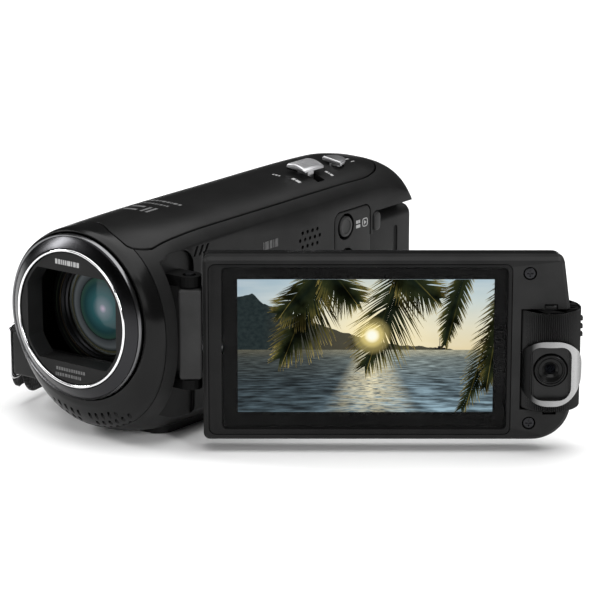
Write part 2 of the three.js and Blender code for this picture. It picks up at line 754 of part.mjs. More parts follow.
function twinDrum() {
  const drum = rod('z', DRUM_Z, [DRUM_X, 0], DRUM_R, DRUM_R, 28);
  const face = extruded(drumFaceOutline(5.6, 7.2, 2.2), 'y', [-12, -DRUM_R + 1.5]);
  const lensWell = rod('y', [-12, -1], [DRUM_X, DRUM_LENS_Z], 4.5, 4.5, 20);
  const pivots = rod('z', [DRUM_Z[0] - 1.2, DRUM_Z[1] + 1.2], [DRUM_X, 0], 4.5);
  const bores = rod('z', [DRUM_Z[1] - 2.6, 20], [DRUM_X, 0], 1.75, 1.75, 16)
    .add(rod('z', [-30, DRUM_Z[0] + 2.6], [DRUM_X, 0], 1.75, 1.75, 12));
  const nubs = NUB_Z.map((z) => box(
    [DRUM_X + DRUM_R - 1, DRUM_X + DRUM_R + 0.5],
    [-1.2, 1.2],
    [z - 0.5, z + 0.5],
  ));
  return drum
    .add(pivots)
    .add(wasm.Manifold.union(nubs))
    .subtract(face)
    .subtract(lensWell)
    .subtract(bores);
}

function twinRing() {
  const collar = rod('z', DRUM_Z, [DRUM_X, 0], DRUM_R + 0.65, DRUM_R + 0.65, 28)
    .subtract(rod('z', [-30, 30], [DRUM_X, 0], DRUM_R + 0.14, DRUM_R + 0.14, 28));
  return collar
    .intersect(extruded(drumFaceOutline(8.3, 8.65, 5.6), 'y', [-12, -1.4], { curveSegments: 4 }))
    .subtract(extruded(drumFaceOutline(5.35, 7.0, 2.1), 'y', [-12, 0]));
}

function twinLensBarrel() {
  return tube('y', [-DRUM_R + 0.9, -1.4], [DRUM_X, DRUM_LENS_Z], 4.2, 2.9, 20);
}

function twinLensGlass() {
  return rod('y', [-DRUM_R + 2.2, -4.6], [DRUM_X, DRUM_LENS_Z], 2.6, 2.6, 12);
}

function drumPin(side) {
  const inner = side > 0 ? DRUM_Z[1] - 2.2 : DRUM_Z[0] + 2.2;
  const outer = side > 0 ? DRUM_Z[1] + 4.8 : DRUM_Z[0] - 4.8;
  return rod('z', [Math.min(inner, outer), Math.max(inner, outer)], [DRUM_X, 0], 1.4, 1.4, 12);
}

// ---- grip belt -----------------------------------------------------------------------------
// A strip standing on edge along the belt line, offset outwards by the given distances.
function beltStrip([from, to], [near, far], zSpan, steps) {
  const line = new THREE.CatmullRomCurve3(BELT_LINE.map(([x, y]) => new THREE.Vector3(x, y, 0)));
  const inner = [];
  const outer = [];
  for (let i = 0; i <= steps; i += 1) {
    const t = from + ((to - from) * i) / steps;
    const p = line.getPointAt(t);
    const along = line.getTangentAt(t);
    const out = new THREE.Vector2(-along.y, along.x);
    inner.push(new THREE.Vector2(p.x + out.x * near, p.y + out.y * near));
    outer.push(new THREE.Vector2(p.x + out.x * far, p.y + out.y * far));
  }
  return extruded(new THREE.Shape([...inner, ...outer.reverse()]), 'z', zSpan);
}

// A post on the casing that the belt's end is folded round.
function strapLug({ x, y, z }) {
  return box(x, y, z).subtract(envelope(-GAP));
}

// ---- insides -------------------------------------------------------------------------------
function speaker() {
  return rod('x', [13.6, 17.2], [SPEAKER.y, SPEAKER.z - 0.6], 5.4, 5.4, 20);
}

function microphone(x) {
  return rod('y', [-53, -49.8], [x, 7.4], 2.1, 2.1, 12);
}

function cardDoor() {
  const outline = roundedRect(CARD_DOOR.x, CARD_DOOR.y, 1.5);
  return extruded(outline, 'z', [0.2, 1.8]);
}

function cardSlot() {
  const block = box([-10, 8], [-36, -15], [3.4, 9]);
  return block.subtract(box([-9, 7], [-27, -24.2], [2, 8.2]));
}

// ---- assembly ------------------------------------------------------------------------------
const FINISHES = {
  gloss: { color: 0x0b0b0d, roughness: 0.22, metalness: 0.0 },
  satin: { color: 0x141416, roughness: 0.5, metalness: 0.0 },
  matte: { color: 0x1c1c1f, roughness: 0.7, metalness: 0.0 },
  gunmetal: { color: 0x2b2c30, roughness: 0.25, metalness: 0.9 },
  chrome: { color: 0xe6e6e8, roughness: 0.12, metalness: 1.0 },
  silver: { color: 0xb9babd, roughness: 0.35, metalness: 0.8 },
  steel: { color: 0x8d8f93, roughness: 0.4, metalness: 0.9 },
  glass: { color: 0x35585c, roughness: 0.05, metalness: 0.0 },
  screen: { color: 0x8fb2c4, roughness: 0.1, metalness: 0.0 },
  board: { color: 0x1f5a34, roughness: 0.6, metalness: 0.0 },
  fabric: { color: 0x18181a, roughness: 0.95, metalness: 0.0 },
};

function add(group, name, solid, finish) {
  const mesh = new THREE.Mesh(toGeometry(solid), new THREE.MeshStandardMaterial(FINISHES[finish]));
  mesh.name = name;
  group.add(mesh);
}

function addCasing(group) {
  const shell = bodyShell();
  add(group, 'front_housing', frontHousing(shell), 'gloss');
  add(group, 'left_cover', leftCover(shell), 'gloss');
  add(group, 'right_cover', rightCover(shell), 'satin');
  add(group, 'top_cover', topCover(shell), 'satin');
  add(group, 'base_cover', baseCover(), 'matte');
  add(group, 'tripod_socket', tripodSocket(), 'steel');
  add(group, 'rear_frame', rearFrame(), 'matte');
  add(group, 'card_door', cardDoor(), 'matte');
  add(group, 'terminal_cover', terminalCover(), 'matte');
  add(group, 'button_plate', buttonPlate(), 'matte');
}

function addLens(group) {
  add(group, 'lens_bezel', lensBezel(), 'gunmetal');
  add(group, 'lens_trim_ring', lensTrimRing(), 'chrome');
  add(group, 'lens_plate', lensPlate(), 'matte');
  add(group, 'barrier_upper_lead', barrierLeaf(1, -58.0), 'satin');
  add(group, 'barrier_upper_trail', barrierLeaf(1, -56.9), 'satin');
  add(group, 'barrier_lower_lead', barrierLeaf(-1, -58.0), 'satin');
  add(group, 'barrier_lower_trail', barrierLeaf(-1, -56.9), 'satin');
  add(group, 'front_retainer', frontRetainer(), 'gunmetal');
  add(group, 'front_element', frontElement(), 'glass');
  add(group, 'lens_barrel', lensBarrel(), 'matte');
  add(group, 'rear_lens_barrel', rearLensBarrel(), 'matte');
  add(group, 'zoom_lens_group', lensGroup(-36, -28), 'glass');
  add(group, 'focus_lens_group', lensGroup(-4, 1), 'glass');
  add(group, 'image_sensor', box([-9, 9], [6.4, 9.4], [AXIS_Z - 8, AXIS_Z + 8]), 'board');
}

function addControls(group) {
  add(group, 'zoom_lever', zoomLever(), 'silver');
  add(group, 'photo_button', photoButton(), 'silver');
  add(group, 'record_button', recordButton(), 'silver');
  add(group, 'battery_release', batteryRelease(), 'matte');
  for (const button of WALL_BUTTONS) add(group, button.name, wallButton(button), 'matte');
}

function addInsides(group) {
  add(group, 'battery', battery(), 'matte');
  add(group, 'battery_contacts', batteryContacts(), 'matte');
  add(group, 'main_board', box([-20.4, -18.8], [-34, 38], [10, 37]), 'board');
  add(group, 'terminal_block', terminalBlock(), 'matte');
  add(group, 'speaker', speaker(), 'matte');
  add(group, 'microphone_left', microphone(6), 'steel');
  add(group, 'microphone_right', microphone(-6), 'steel');
  add(group, 'card_slot', cardSlot(), 'steel');
}

function addGrip(group) {
  add(group, 'grip_belt', beltStrip([0.0, 1.0], [-0.6, 0.6], BELT_Z, 14), 'fabric');
  add(group, 'grip_pad', beltStrip([0.1, 0.88], [-3.6, -0.9], PAD_Z, 12), 'fabric');
  add(group, 'strap_lug_front', strapLug(LUG_FRONT), 'matte');
  add(group, 'strap_lug_rear', strapLug(LUG_REAR), 'matte');
}

function addScreen(group) {
  add(group, 'hinge_bracket', hingeBracket(), 'steel');
  add(group, 'hinge_pin', hingePin(), 'steel');
  const panel = new THREE.Group();
  panel.position.copy(HINGE);
  panel.rotation.z = ((90 - OPEN_ANGLE) * Math.PI) / 180;
  group.add(panel);
  add(panel, 'hinge_block', hingeBlock(), 'satin');
  add(panel, 'tilt_shaft', tiltShaft(), 'steel');
  add(panel, 'screen_back_cover', screenBackCover(), 'gloss');
  add(panel, 'screen_front_frame', screenFrontFrame(), 'matte');
  add(panel, 'screen_bezel', screenBezel(), 'gloss');
  add(panel, 'screen_glass', screenGlass(), 'screen');
  add(panel, 'display_panel', displayPanel(), 'screen');
  for (const screw of SCREWS) add(panel, screw.name, screenScrew(screw), 'steel');
  add(panel, 'twin_camera_drum', twinDrum(), 'matte');
  add(panel, 'twin_camera_ring', twinRing(), 'chrome');
  add(panel, 'twin_camera_barrel', twinLensBarrel(), 'gloss');
  add(panel, 'twin_camera_glass', twinLensGlass(), 'glass');
  add(panel, 'twin_camera_pin_upper', drumPin(1), 'steel');
  add(panel, 'twin_camera_pin_lower', drumPin(-1), 'steel');
}

const camcorder = new THREE.Group();
addCasing(camcorder);
addLens(camcorder);
addControls(camcorder);
addInsides(camcorder);
addGrip(camcorder);
addScreen(camcorder);

export default camcorder;
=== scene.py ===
"""Looks for the camcorder: smooth casings, optics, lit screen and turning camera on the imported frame."""

import json
import math
import random

import bmesh
import bpy
from mathutils import Matrix, Vector


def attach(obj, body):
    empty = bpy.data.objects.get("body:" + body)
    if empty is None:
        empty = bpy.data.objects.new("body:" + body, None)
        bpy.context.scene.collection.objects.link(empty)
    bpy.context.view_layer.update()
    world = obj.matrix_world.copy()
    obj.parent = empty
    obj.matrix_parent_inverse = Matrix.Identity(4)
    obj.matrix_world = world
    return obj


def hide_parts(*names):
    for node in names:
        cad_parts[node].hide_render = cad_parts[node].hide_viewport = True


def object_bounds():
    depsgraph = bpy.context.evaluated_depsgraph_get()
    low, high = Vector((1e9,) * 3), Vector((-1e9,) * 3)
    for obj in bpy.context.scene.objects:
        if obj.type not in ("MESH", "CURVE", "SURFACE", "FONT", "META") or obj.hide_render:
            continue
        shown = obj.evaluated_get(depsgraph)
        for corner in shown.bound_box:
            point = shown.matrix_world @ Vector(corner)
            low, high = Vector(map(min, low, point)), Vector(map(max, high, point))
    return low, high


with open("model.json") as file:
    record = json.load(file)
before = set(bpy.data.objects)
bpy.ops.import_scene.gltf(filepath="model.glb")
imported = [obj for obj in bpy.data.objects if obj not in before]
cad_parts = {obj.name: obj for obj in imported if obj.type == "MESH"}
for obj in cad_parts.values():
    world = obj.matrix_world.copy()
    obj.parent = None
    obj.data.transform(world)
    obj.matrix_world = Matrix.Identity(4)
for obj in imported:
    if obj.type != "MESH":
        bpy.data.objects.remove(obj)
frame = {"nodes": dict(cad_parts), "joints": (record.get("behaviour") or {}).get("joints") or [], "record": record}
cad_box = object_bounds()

MM = 0.001
BODY_OF = {n: b for b, nodes in frame["record"]["behaviour"]["bodies"].items() for n in nodes}
JOINTS = {j["name"]: j for j in frame["joints"]}


# ---- sizes read from the frame, in mm ---------------------------------------------------
def panel_place():
    """The open screen's own frame: x along the panel from the hinge pin, -y out of the screen."""
    tilt = JOINTS["screen_tilt"]
    turn = math.atan2(tilt["axis"][1], tilt["axis"][0])
    return Matrix.Translation(Vector(tilt["pos_m"])) @ Matrix.Rotation(turn, 4, "Z")


ROW = Matrix.Identity(4)
PANEL = panel_place()


def span(node, place=ROW):
    """Lowest and highest corner of a CAD node in mm, in the row frame or in the panel's."""
    back = place.inverted()
    points = [back @ v.co / MM for v in frame["nodes"][node].data.vertices]
    low = Vector(min(p[k] for p in points) for k in range(3))
    high = Vector(max(p[k] for p in points) for k in range(3))
    return low, high


def middle(node, place=ROW):
    """The middle of a CAD node in mm."""
    low, high = span(node, place)
    return (low + high) / 2


def radius_of(node, place=ROW):
    """Half the width of a round CAD node."""
    low, high = span(node, place)
    return (high.x - low.x) / 2


AXIS_Z = middle("lens_trim_ring").z
WALL = 1.8
GAP = 0.3
FAR = 90
SIDE_X = span("terminal_cover")[1].x
DRUM_LOW_Z, DRUM_HIGH_Z = -15.95, 10.45
DRUM_X = middle("twin_camera_pin_upper", PANEL).x
DRUM_R = 8.1
BAY_FRONT_Y = -51.8
BAY_TOP_Z = 52.6
SEAM_X = -2
PARTING_Y = -56.3
PANEL_SWEEP_R = 25.3
PANEL_SWEEP_START = 3.2
DRUM_ROOM = 1.4

# The body's sections: y, top, bottom, screen-side half width, grip-side half width, squareness.
SECTIONS = [
    (-61.4, 57.2, 10.9, 23.2, 23.2, 2.0),
    (-59.5, 57.8, 7.0, 24.4, 24.0, 2.05),
    (-56.0, 58.0, 3.4, 25.4, 24.6, 2.15),
    (-50.0, 58.2, 1.4, 25.5, 25.2, 2.4),
    (-43.0, 58.4, 0.4, 24.6, 25.6, 2.75),
    (-30.0, 58.6, 0.2, 24.0, 26.0, 3),
    (0.0, 58.8, 0.2, 24.0, 26.0, 3),
    (30.0, 59.0, 0.2, 24.0, 26.0, 3),
    (44.0, 58.8, 0.3, 23.8, 25.8, 3),
    (52.0, 57.7, 0.8, 23.4, 25.2, 3),
    (58.0, 56.1, 2.4, 22.8, 23.6, 2.9),
    (61.4, 53.9, 5.0, 21.0, 21.0, 2.8),
    (63.0, 51.6, 8.0, 18.6, 18.4, 2.7),
]
GRIP_SHOULDER = 2.0


# ---- meshes -----------------------------------------------------------------------------
def as_object(name, mesh):
    """A finished bmesh as a scene object."""
    bmesh.ops.recalc_face_normals(mesh, faces=mesh.faces)
    data = bpy.data.meshes.new(name)
    mesh.to_mesh(data)
    mesh.free()
    piece = bpy.data.objects.new(name, data)
    bpy.context.scene.collection.objects.link(piece)
    return piece


def skin(name, loops, closed=False):
    """A solid through loops of points in mm, capped at its ends or closed on itself."""
    mesh = bmesh.new()
    rings = [[mesh.verts.new(Vector(p) * MM) for p in loop] for loop in loops]
    pairs = list(zip(rings, rings[1:]))
    if closed:
        pairs.append((rings[-1], rings[0]))
    count = len(loops[0])
    for a, b in pairs:
        for i in range(count):
            j = (i + 1) % count
            mesh.faces.new((a[i], a[j], b[j], b[i]))
    if not closed:
        mesh.faces.new(rings[0][::-1])
        mesh.faces.new(rings[-1])
    return as_object(name, mesh)


AXES = {
    "x": lambda u, v, depth: (depth, u, v),
    "y": lambda u, v, depth: (u, depth, v),
    "z": lambda u, v, depth: (u, v, depth),
}


def turned(name, profile, centre=None, steps=160):
    """A ring turned about an axis along y: the closed profile is a list of (radius, y)."""
    x0, z0 = centre or (0, AXIS_Z)
    loops = []
    for radius, y in profile:
        r = max(radius, 0.004)
        turns = [2 * math.pi * i / steps for i in range(steps)]
        loops.append([(x0 + r * math.cos(t), y, z0 + r * math.sin(t)) for t in turns])
    return skin(name, loops, closed=True)


def inset(points, distance):
    """The outline moved inwards by a distance, corner by corner."""
    moved = []
    count = len(points)
    for i, (u, v) in enumerate(points):
        u0, v0 = points[i - 1]
        u1, v1 = points[(i + 1) % count]
        a = Vector((v0 - v, u - u0)).normalized()
        b = Vector((v - v1, u1 - u)).normalized()
        corner = (a + b) / max(0.35, 1 + a.dot(b))
        moved.append((u + corner.x * distance, v + corner.y * distance))
    return moved


def slab(name, outline, axis, depth, edge=(0.0, 0.0), steps=4):
    """An outline pushed along an axis, with a rounded edge at its low and its high end."""
    low, high = depth
    levels = []
    for k in range(steps + 1 if edge[0] else 1):
        turn = math.pi / 2 * k / steps
        levels.append((edge[0] * (1 - math.sin(turn)), low + edge[0] * (1 - math.cos(turn))))
    for k in range(steps, -1, -1) if edge[1] else (0,):
        turn = math.pi / 2 * k / steps
        levels.append((edge[1] * (1 - math.sin(turn)), high - edge[1] * (1 - math.cos(turn))))
    place = AXES[axis]
    return skin(name, [[place(u, v, d) for u, v in inset(outline, gap)] for gap, d in levels])


def rectangle(u0, u1, v0, v1, radius=0.0, steps=10):
    """A rounded rectangle, counter-clockwise."""
    if not radius:
        return [(u0, v0), (u1, v0), (u1, v1), (u0, v1)]
    corners = [
        (u1 - radius, v0 + radius, -90),
        (u1 - radius, v1 - radius, 0),
        (u0 + radius, v1 - radius, 90),
        (u0 + radius, v0 + radius, 180),
    ]
    points = []
    for u, v, start in corners:
        points += arc(u, v, radius, start, start + 90, steps)
    return points


def arc(u, v, radius, start, end, steps=12):
    """Points of an arc, from a start angle to an end angle in degrees."""
    turns = [math.radians(start + (end - start) * i / steps) for i in range(steps + 1)]
    return [(u + radius * math.cos(t), v + radius * math.sin(t)) for t in turns]


def circle(u, v, radius, steps=64):
    """Points of a full circle."""
    return arc(u, v, radius, 0, 360, steps)[:-1]


def box(x, y, z, name="cutter"):
    """A plain box from three pairs of limits."""
    return slab(name, rectangle(x[0], x[1], y[0], y[1]), "z", z)


def rod(axis, depth, centre, radius, edge=(0.0, 0.0), steps=64, name="cutter"):
    """A round bar along an axis."""
    return slab(name, circle(centre[0], centre[1], radius, steps), axis, depth, edge)


def combine(piece, tool, operation):
    """Applies one boolean to a piece and removes the tool."""
    modifier = piece.modifiers.new("boolean", "BOOLEAN")
    modifier.operation = operation
    modifier.solver = "MANIFOLD"
    modifier.object = tool
    result = piece.evaluated_get(bpy.context.evaluated_depsgraph_get())
    data = bpy.data.meshes.new_from_object(result)
    piece.modifiers.clear()
    piece.data = data
    bpy.data.objects.remove(tool)
    return piece


def cut(piece, *tools):
    """The piece less the tools."""
    for tool in tools:
        combine(piece, tool, "DIFFERENCE")
    return piece


def join(piece, *tools):
    """The piece and the tools as one solid."""
    for tool in tools:
        combine(piece, tool, "UNION")
    return piece


def keep(piece, tool):
    """The part of the piece that is inside the tool."""
    return combine(piece, tool, "INTERSECT")


def copy_of(piece, name):
    """A second object with its own copy of the mesh."""
    twin = bpy.data.objects.new(name, piece.data.copy())
    bpy.context.scene.collection.objects.link(twin)
    return twin


def gather(name, parts):
    """Several loose parts as one object."""
    mesh = bmesh.new()
    for part in parts:
        part.data.transform(part.matrix_world)
        mesh.from_mesh(part.data)
        bpy.data.objects.remove(part)
    return as_object(name, mesh)


def smooth(piece, angle=32):
    """Smooth shading, with edges over the angle left sharp."""
    piece.data.polygons.foreach_set("use_smooth", [True] * len(piece.data.polygons))
    piece.data.set_sharp_from_angle(angle=math.radians(angle))


def stands_for(piece, node, material, place=ROW, angle=32):
    """The piece is shown in place of the CAD node, on that node's body."""
    piece.name = "skin_" + node
    fit(piece, BODY_OF[node], material, place, angle)
    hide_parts(node)
    return piece


def fit(piece, body, material, place=ROW, angle=32):
    """Gives a piece its material, place and body."""
    smooth(piece, angle)
    piece.data.materials.clear()
    piece.data.materials.append(material)
    piece.matrix_world = place
    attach(piece, body)
    return piece


# ---- materials --------------------------------------------------------------------------
def node(tree, kind, links=None, **values):
    """A shader node with its settings and inputs set by name."""
    made = tree.nodes.new("ShaderNode" + kind)
    for key, value in values.items():
        if key in made.bl_rna.properties:
            setattr(made, key, value)
        else:
            made.inputs[key.replace("_", " ")].default_value = value
    for key, source in (links or {}).items():
        tree.links.new(source, made.inputs[key])
    return made


def ramp(tree, source, stops, interpolation="LINEAR"):
    """A colour ramp through (position, colour) stops."""
    made = node(tree, "ValToRGB", {"Fac": source})
    made.color_ramp.interpolation = interpolation
    bar = made.color_ramp.elements
    while len(bar) < len(stops):
        bar.new(0.5)
    for element, (position, colour) in zip(bar, stops):
        element.position = position
        element.color = (*grey(colour), 1)
    return made.outputs["Color"]


def grey(colour):
    """A colour from a single number, or the colour itself."""
    return (colour,) * 3 if isinstance(colour, (int, float)) else colour


def blank(name, **values):
    """A new Principled material with plain values set on its sockets."""
    material = bpy.data.materials.new(name)
    material.use_nodes = True
    tree = material.node_tree
    shader = tree.nodes["Principled BSDF"]
    for key, value in values.items():
        socket = shader.inputs[key.replace("_", " ")]
        socket.default_value = (*grey(value), 1) if socket.type == "RGBA" else value
    return material, tree, shader


def noise(tree, scale, detail=3.0, stretch=(1, 1, 1)):
    """Noise in object space."""
    where = node(tree, "TexCoord").outputs["Object"]
    spread = node(tree, "Mapping", {"Vector": where}, Scale=stretch)
    made = node(tree, "TexNoise", {"Vector": spread.outputs["Vector"]}, Scale=scale, Detail=detail)
    return made.outputs["Fac"]


def moulded(name, colour, roughness, specular, grain=0.0, grain_size=0.3, edge=0.0, spread=0.05, **values):
    """Moulded plastic: handling marks in the gloss, a fine grain and softened edges."""
    material, tree, shader = blank(name, Specular_IOR_Level=specular, **values)
    smears = noise(tree, 55, 4)
    rough = ramp(tree, smears, [(0.3, roughness - spread), (0.7, roughness + spread)])
    tree.links.new(rough, shader.inputs["Roughness"])
    dark = [0.82 * c for c in grey(colour)]
    light = [1.2 * c for c in grey(colour)]
    tint = ramp(tree, noise(tree, 140, 5), [(0.3, dark), (0.7, light)])
    tree.links.new(tint, shader.inputs["Base Color"])
    links = {"Height": noise(tree, 1 / (grain_size * MM), 2)}
    if edge:
        links["Normal"] = node(tree, "Bevel", Radius=edge * MM, samples=4).outputs["Normal"]
    bump = node(tree, "Bump", links, Strength=0.6 if grain else 0.03, Distance=max(grain, 0.01) * MM)
    tree.links.new(bump.outputs["Normal"], shader.inputs["Normal"])
    return material


def spun_metal(name, colour, roughness, grain=0.004):
    """Metal finished on a lathe: fine rings about the y axis."""
    material, tree, shader = blank(name, Base_Color=colour, Metallic=1.0, Anisotropic=0.75)
    where = node(tree, "TexCoord").outputs["Object"]
    parts = node(tree, "SeparateXYZ", {"Vector": where})
    tangent = node(tree, "Tangent", direction_type="RADIAL", axis="Y")
    tree.links.new(tangent.outputs["Tangent"], shader.inputs["Tangent"])
    rings = node(tree, "TexNoise", {"W": parts.outputs["Y"]}, noise_dimensions="1D", Scale=9000)
    rough = ramp(tree, noise(tree, 90, 4), [(0.3, roughness - 0.04), (0.7, roughness + 0.05)])
    tree.links.new(rough, shader.inputs["Roughness"])
    bump = node(tree, "Bump", {"Height": rings.outputs["Fac"]}, Strength=0.3, Distance=grain * MM)
    tree.links.new(bump.outputs["Normal"], shader.inputs["Normal"])
    return material


def metal(name, colour, roughness, grain=0.0, edge=0.1):
    """Plated or blasted metal with faint wear in its gloss."""
    material, tree, shader = blank(name, Base_Color=colour, Metallic=1.0)
    rough = ramp(tree, noise(tree, 220, 4), [(0.3, roughness - 0.03), (0.72, roughness + 0.06)])
    tree.links.new(rough, shader.inputs["Roughness"])
    soft = node(tree, "Bevel", Radius=edge * MM, samples=4)
    links = {"Height": noise(tree, 5000, 2), "Normal": soft.outputs["Normal"]}
    bump = node(tree, "Bump", links, Strength=0.4, Distance=max(grain, 0.002) * MM)
    tree.links.new(bump.outputs["Normal"], shader.inputs["Normal"])
    return material


def coated_glass(name, tint, gloss_tint, gloss, roughness=0.02):
    """Clear coated glass: what is behind shows through, under a faint coloured reflection."""
    material = bpy.data.materials.new(name)
    material.use_nodes = True
    tree = material.node_tree
    tree.nodes.clear()
    fresnel = node(tree, "LayerWeight", Blend=0.25)
    smears = noise(tree, 70, 4)
    amount = node(tree, "Math", {0: fresnel.outputs["Fresnel"]}, operation="MULTIPLY")
    amount.inputs[1].default_value = gloss
    clear = node(tree, "BsdfTransparent", Color=(*tint, 1))
    rough = ramp(tree, smears, [(0.35, roughness), (0.75, roughness + 0.03)])
    shiny = node(tree, "BsdfGlossy", {"Roughness": rough}, Color=(*gloss_tint, 1))
    links = {0: amount.outputs[0], 1: clear.outputs[0], 2: shiny.outputs[0]}
    mix = node(tree, "MixShader", links)
    out = node(tree, "OutputMaterial", {"Surface": mix.outputs[0]})
    out.is_active_output = True
    return material


def clear_cover():
    """A thin clear cover with faint smudges; its gloss comes from the layer under it."""
    material = bpy.data.materials.new("clear_cover")
    material.use_nodes = True
    tree = material.node_tree
    tree.nodes.clear()
    tint = ramp(tree, noise(tree, 60, 4), [(0.35, 0.95), (0.7, 0.99)])
    clear = node(tree, "BsdfTransparent", {"Color": tint})
    node(tree, "OutputMaterial", {"Surface": clear.outputs[0]})
    return material


def circuit_board():
    """Green solder mask with paler copper tracks."""
    material, tree, shader = blank("circuit_board", Roughness=0.45, Specular_IOR_Level=0.4)
    where = node(tree, "TexCoord").outputs["Object"]
    tracks = node(tree, "TexBrick", {"Vector": where}, Scale=260.0, Mortar_Size=0.09)
    tracks.inputs["Color1"].default_value = (0.008, 0.055, 0.022, 1)
    tracks.inputs["Color2"].default_value = (0.012, 0.075, 0.03, 1)
    tracks.inputs["Mortar"].default_value = (0.03, 0.13, 0.05, 1)
    tree.links.new(tracks.outputs["Color"], shader.inputs["Base Color"])
    bump = node(tree, "Bump", {"Height": tracks.outputs["Fac"]}, Strength=0.3, Distance=0.05 * MM)
    tree.links.new(bump.outputs["Normal"], shader.inputs["Normal"])
    return material


def webbing(name, colour, weave=0.9):
    """Woven belt: crossing ribs, colour darker in the weave's hollows as painted shade, and a soft sheen."""
    material, tree, shader = blank(name, Specular_IOR_Level=0.15, Roughness=0.85)
    shader.inputs["Sheen Weight"].default_value = 0.25
    where = node(tree, "TexCoord").outputs["Object"]
    pick = {"Vector": where}
    along = node(tree, "TexWave", pick, Scale=1 / (weave * MM) / 6.28, Distortion=0.6)
    along.bands_direction = "Z"
    across = node(tree, "TexWave", pick, Scale=1 / (weave * MM) / 6.28, Distortion=0.6)
    across.bands_direction = "Y"
    mixed = {0: along.outputs["Fac"], 1: across.outputs["Fac"]}
    height = node(tree, "Math", mixed, operation="MULTIPLY").outputs[0]
    # Painted shade: the weave's low places take the darker colour.
    dark = [0.55 * c for c in grey(colour)]
    tint = ramp(tree, height, [(0.1, dark), (0.8, colour)])
    tree.links.new(tint, shader.inputs["Base Color"])
    bump = node(tree, "Bump", {"Height": height}, Strength=0.8, Distance=0.12 * MM)
    tree.links.new(bump.outputs["Normal"], shader.inputs["Normal"])
    return material


def printed(name, colour):
    """Screen-printed ink, a little uneven."""
    material, tree, shader = blank(name, Roughness=0.6, Specular_IOR_Level=0.2)
    tint = ramp(tree, noise(tree, 900, 3), [(0.3, 0.75 * colour), (0.6, colour)])
    tree.links.new(tint, shader.inputs["Base Color"])
    return material


GLOSS = moulded("gloss_black", 0.0035, 0.2, 0.17, edge=0.18, spread=0.03)
SATIN = moulded("satin_black", 0.0045, 0.36, 0.15, grain=0.01, grain_size=0.22, edge=0.2)
SIDE = moulded("side_black", 0.009, 0.42, 0.14, grain=0.015, grain_size=0.24, edge=0.2)
MATTE = moulded("matte_black", 0.0075, 0.5, 0.2, grain=0.025, grain_size=0.2, edge=0.15)
RIBBED = moulded("ribbed_black", 0.0065, 0.34, 0.24, spread=0.03)
FRAME = moulded("frame_grey", 0.0105, 0.48, 0.12, grain=0.015, grain_size=0.2, edge=0.12)
CAMERA_END = moulded("camera_end_grey", 0.017, 0.5, 0.12, grain=0.015, grain_size=0.2, edge=0.12)
# Black darkened further as painted shade of the hinge pocket that the hinge bracket sits in.
POCKET_SHADE_BLACK = moulded("pocket_shade_black", 0.002, 0.6, 0.08, grain=0.02, edge=0.1)
ARM = moulded("arm_grey", 0.022, 0.6, 0.2, grain=0.06, grain_size=0.25, edge=0.2)
PLATE = moulded("plate_black", 0.0085, 0.5, 0.14, grain=0.012, grain_size=0.15, edge=0.1)
BEZEL = moulded("bezel_black", 0.0085, 0.36, 0.1, grain=0.008, edge=0.12)
BUTTON = moulded("button_black", 0.016, 0.42, 0.22, grain=0.015, edge=0.25)
GUNMETAL = spun_metal("gunmetal", (0.032, 0.032, 0.034), 0.22)
RIM = spun_metal("lens_rim", (0.16, 0.16, 0.165), 0.2)
CHROME = metal("chrome_trim", (0.8, 0.8, 0.81), 0.14, edge=0.15)
SILVER = metal("silver_control", (0.5, 0.5, 0.51), 0.34, grain=0.01, edge=0.2)
STEEL = metal("steel", (0.3, 0.3, 0.31), 0.36, grain=0.01)
BLACK_STEEL = metal("black_steel", (0.03, 0.03, 0.032), 0.35, grain=0.01)
# The barrel's inside: a grey made pale partly as painted light, since little lamp light reaches into the lens.
CONE = moulded("barrel_inside", (0.16, 0.18, 0.19), 0.42, 0.4, grain=0.01, spread=0.06)
BOARD = circuit_board()
WEBBING = webbing("belt_webbing", 0.018)
PADDING = webbing("belt_pad", 0.012, weave=0.6)
FAINT_THREAD = webbing("thread", 0.05, weave=0.3)
INK = printed("white_ink", 0.4)
FAINT_INK = printed("grey_ink", 0.12)
MASK = moulded("glass_mask", 0.0045, 0.12, 0.06, spread=0.02)
SCREEN_GLASS = clear_cover()
TWIN_GLASS = coated_glass("twin_glass", (0.3, 0.32, 0.36), (0.5, 0.55, 0.7), 0.3)


# ---- body envelope ----------------------------------------------------------------------
def section_at(y):
    """The body section at y: the sections joined by smooth curves."""
    ys = [s[0] for s in SECTIONS]
    i = max(0, min(len(ys) - 2, sum(1 for v in ys if v <= y) - 1))
    t = (y - ys[i]) / (ys[i + 1] - ys[i])
    width = ys[i + 1] - ys[i]
    values = []
    for k in range(1, 6):
        a, b = SECTIONS[i][k], SECTIONS[i + 1][k]
        slope_a = slope(i, k) * width
        slope_b = slope(i + 1, k) * width
        h = [2 * t**3 - 3 * t**2 + 1, t**3 - 2 * t**2 + t, 3 * t**2 - 2 * t**3, t**3 - t**2]
        values.append(h[0] * a + h[1] * slope_a + h[2] * b + h[3] * slope_b)
    return values


def slope(i, k):
    """The slope of one section value, flattened where it turns, so that curves don't overshoot."""
    before, after = max(0, i - 1), min(len(SECTIONS) - 1, i + 1)
    left = (SECTIONS[i][k] - SECTIONS[before][k]) / max(1e-6, SECTIONS[i][0] - SECTIONS[before][0])
    right = (SECTIONS[after][k] - SECTIONS[i][k]) / max(1e-6, SECTIONS[after][0] - SECTIONS[i][0])
    if before == i:
        return right
    if after == i:
        return left
    return 2 * left * right / (left + right) if left * right > 0 else 0.0


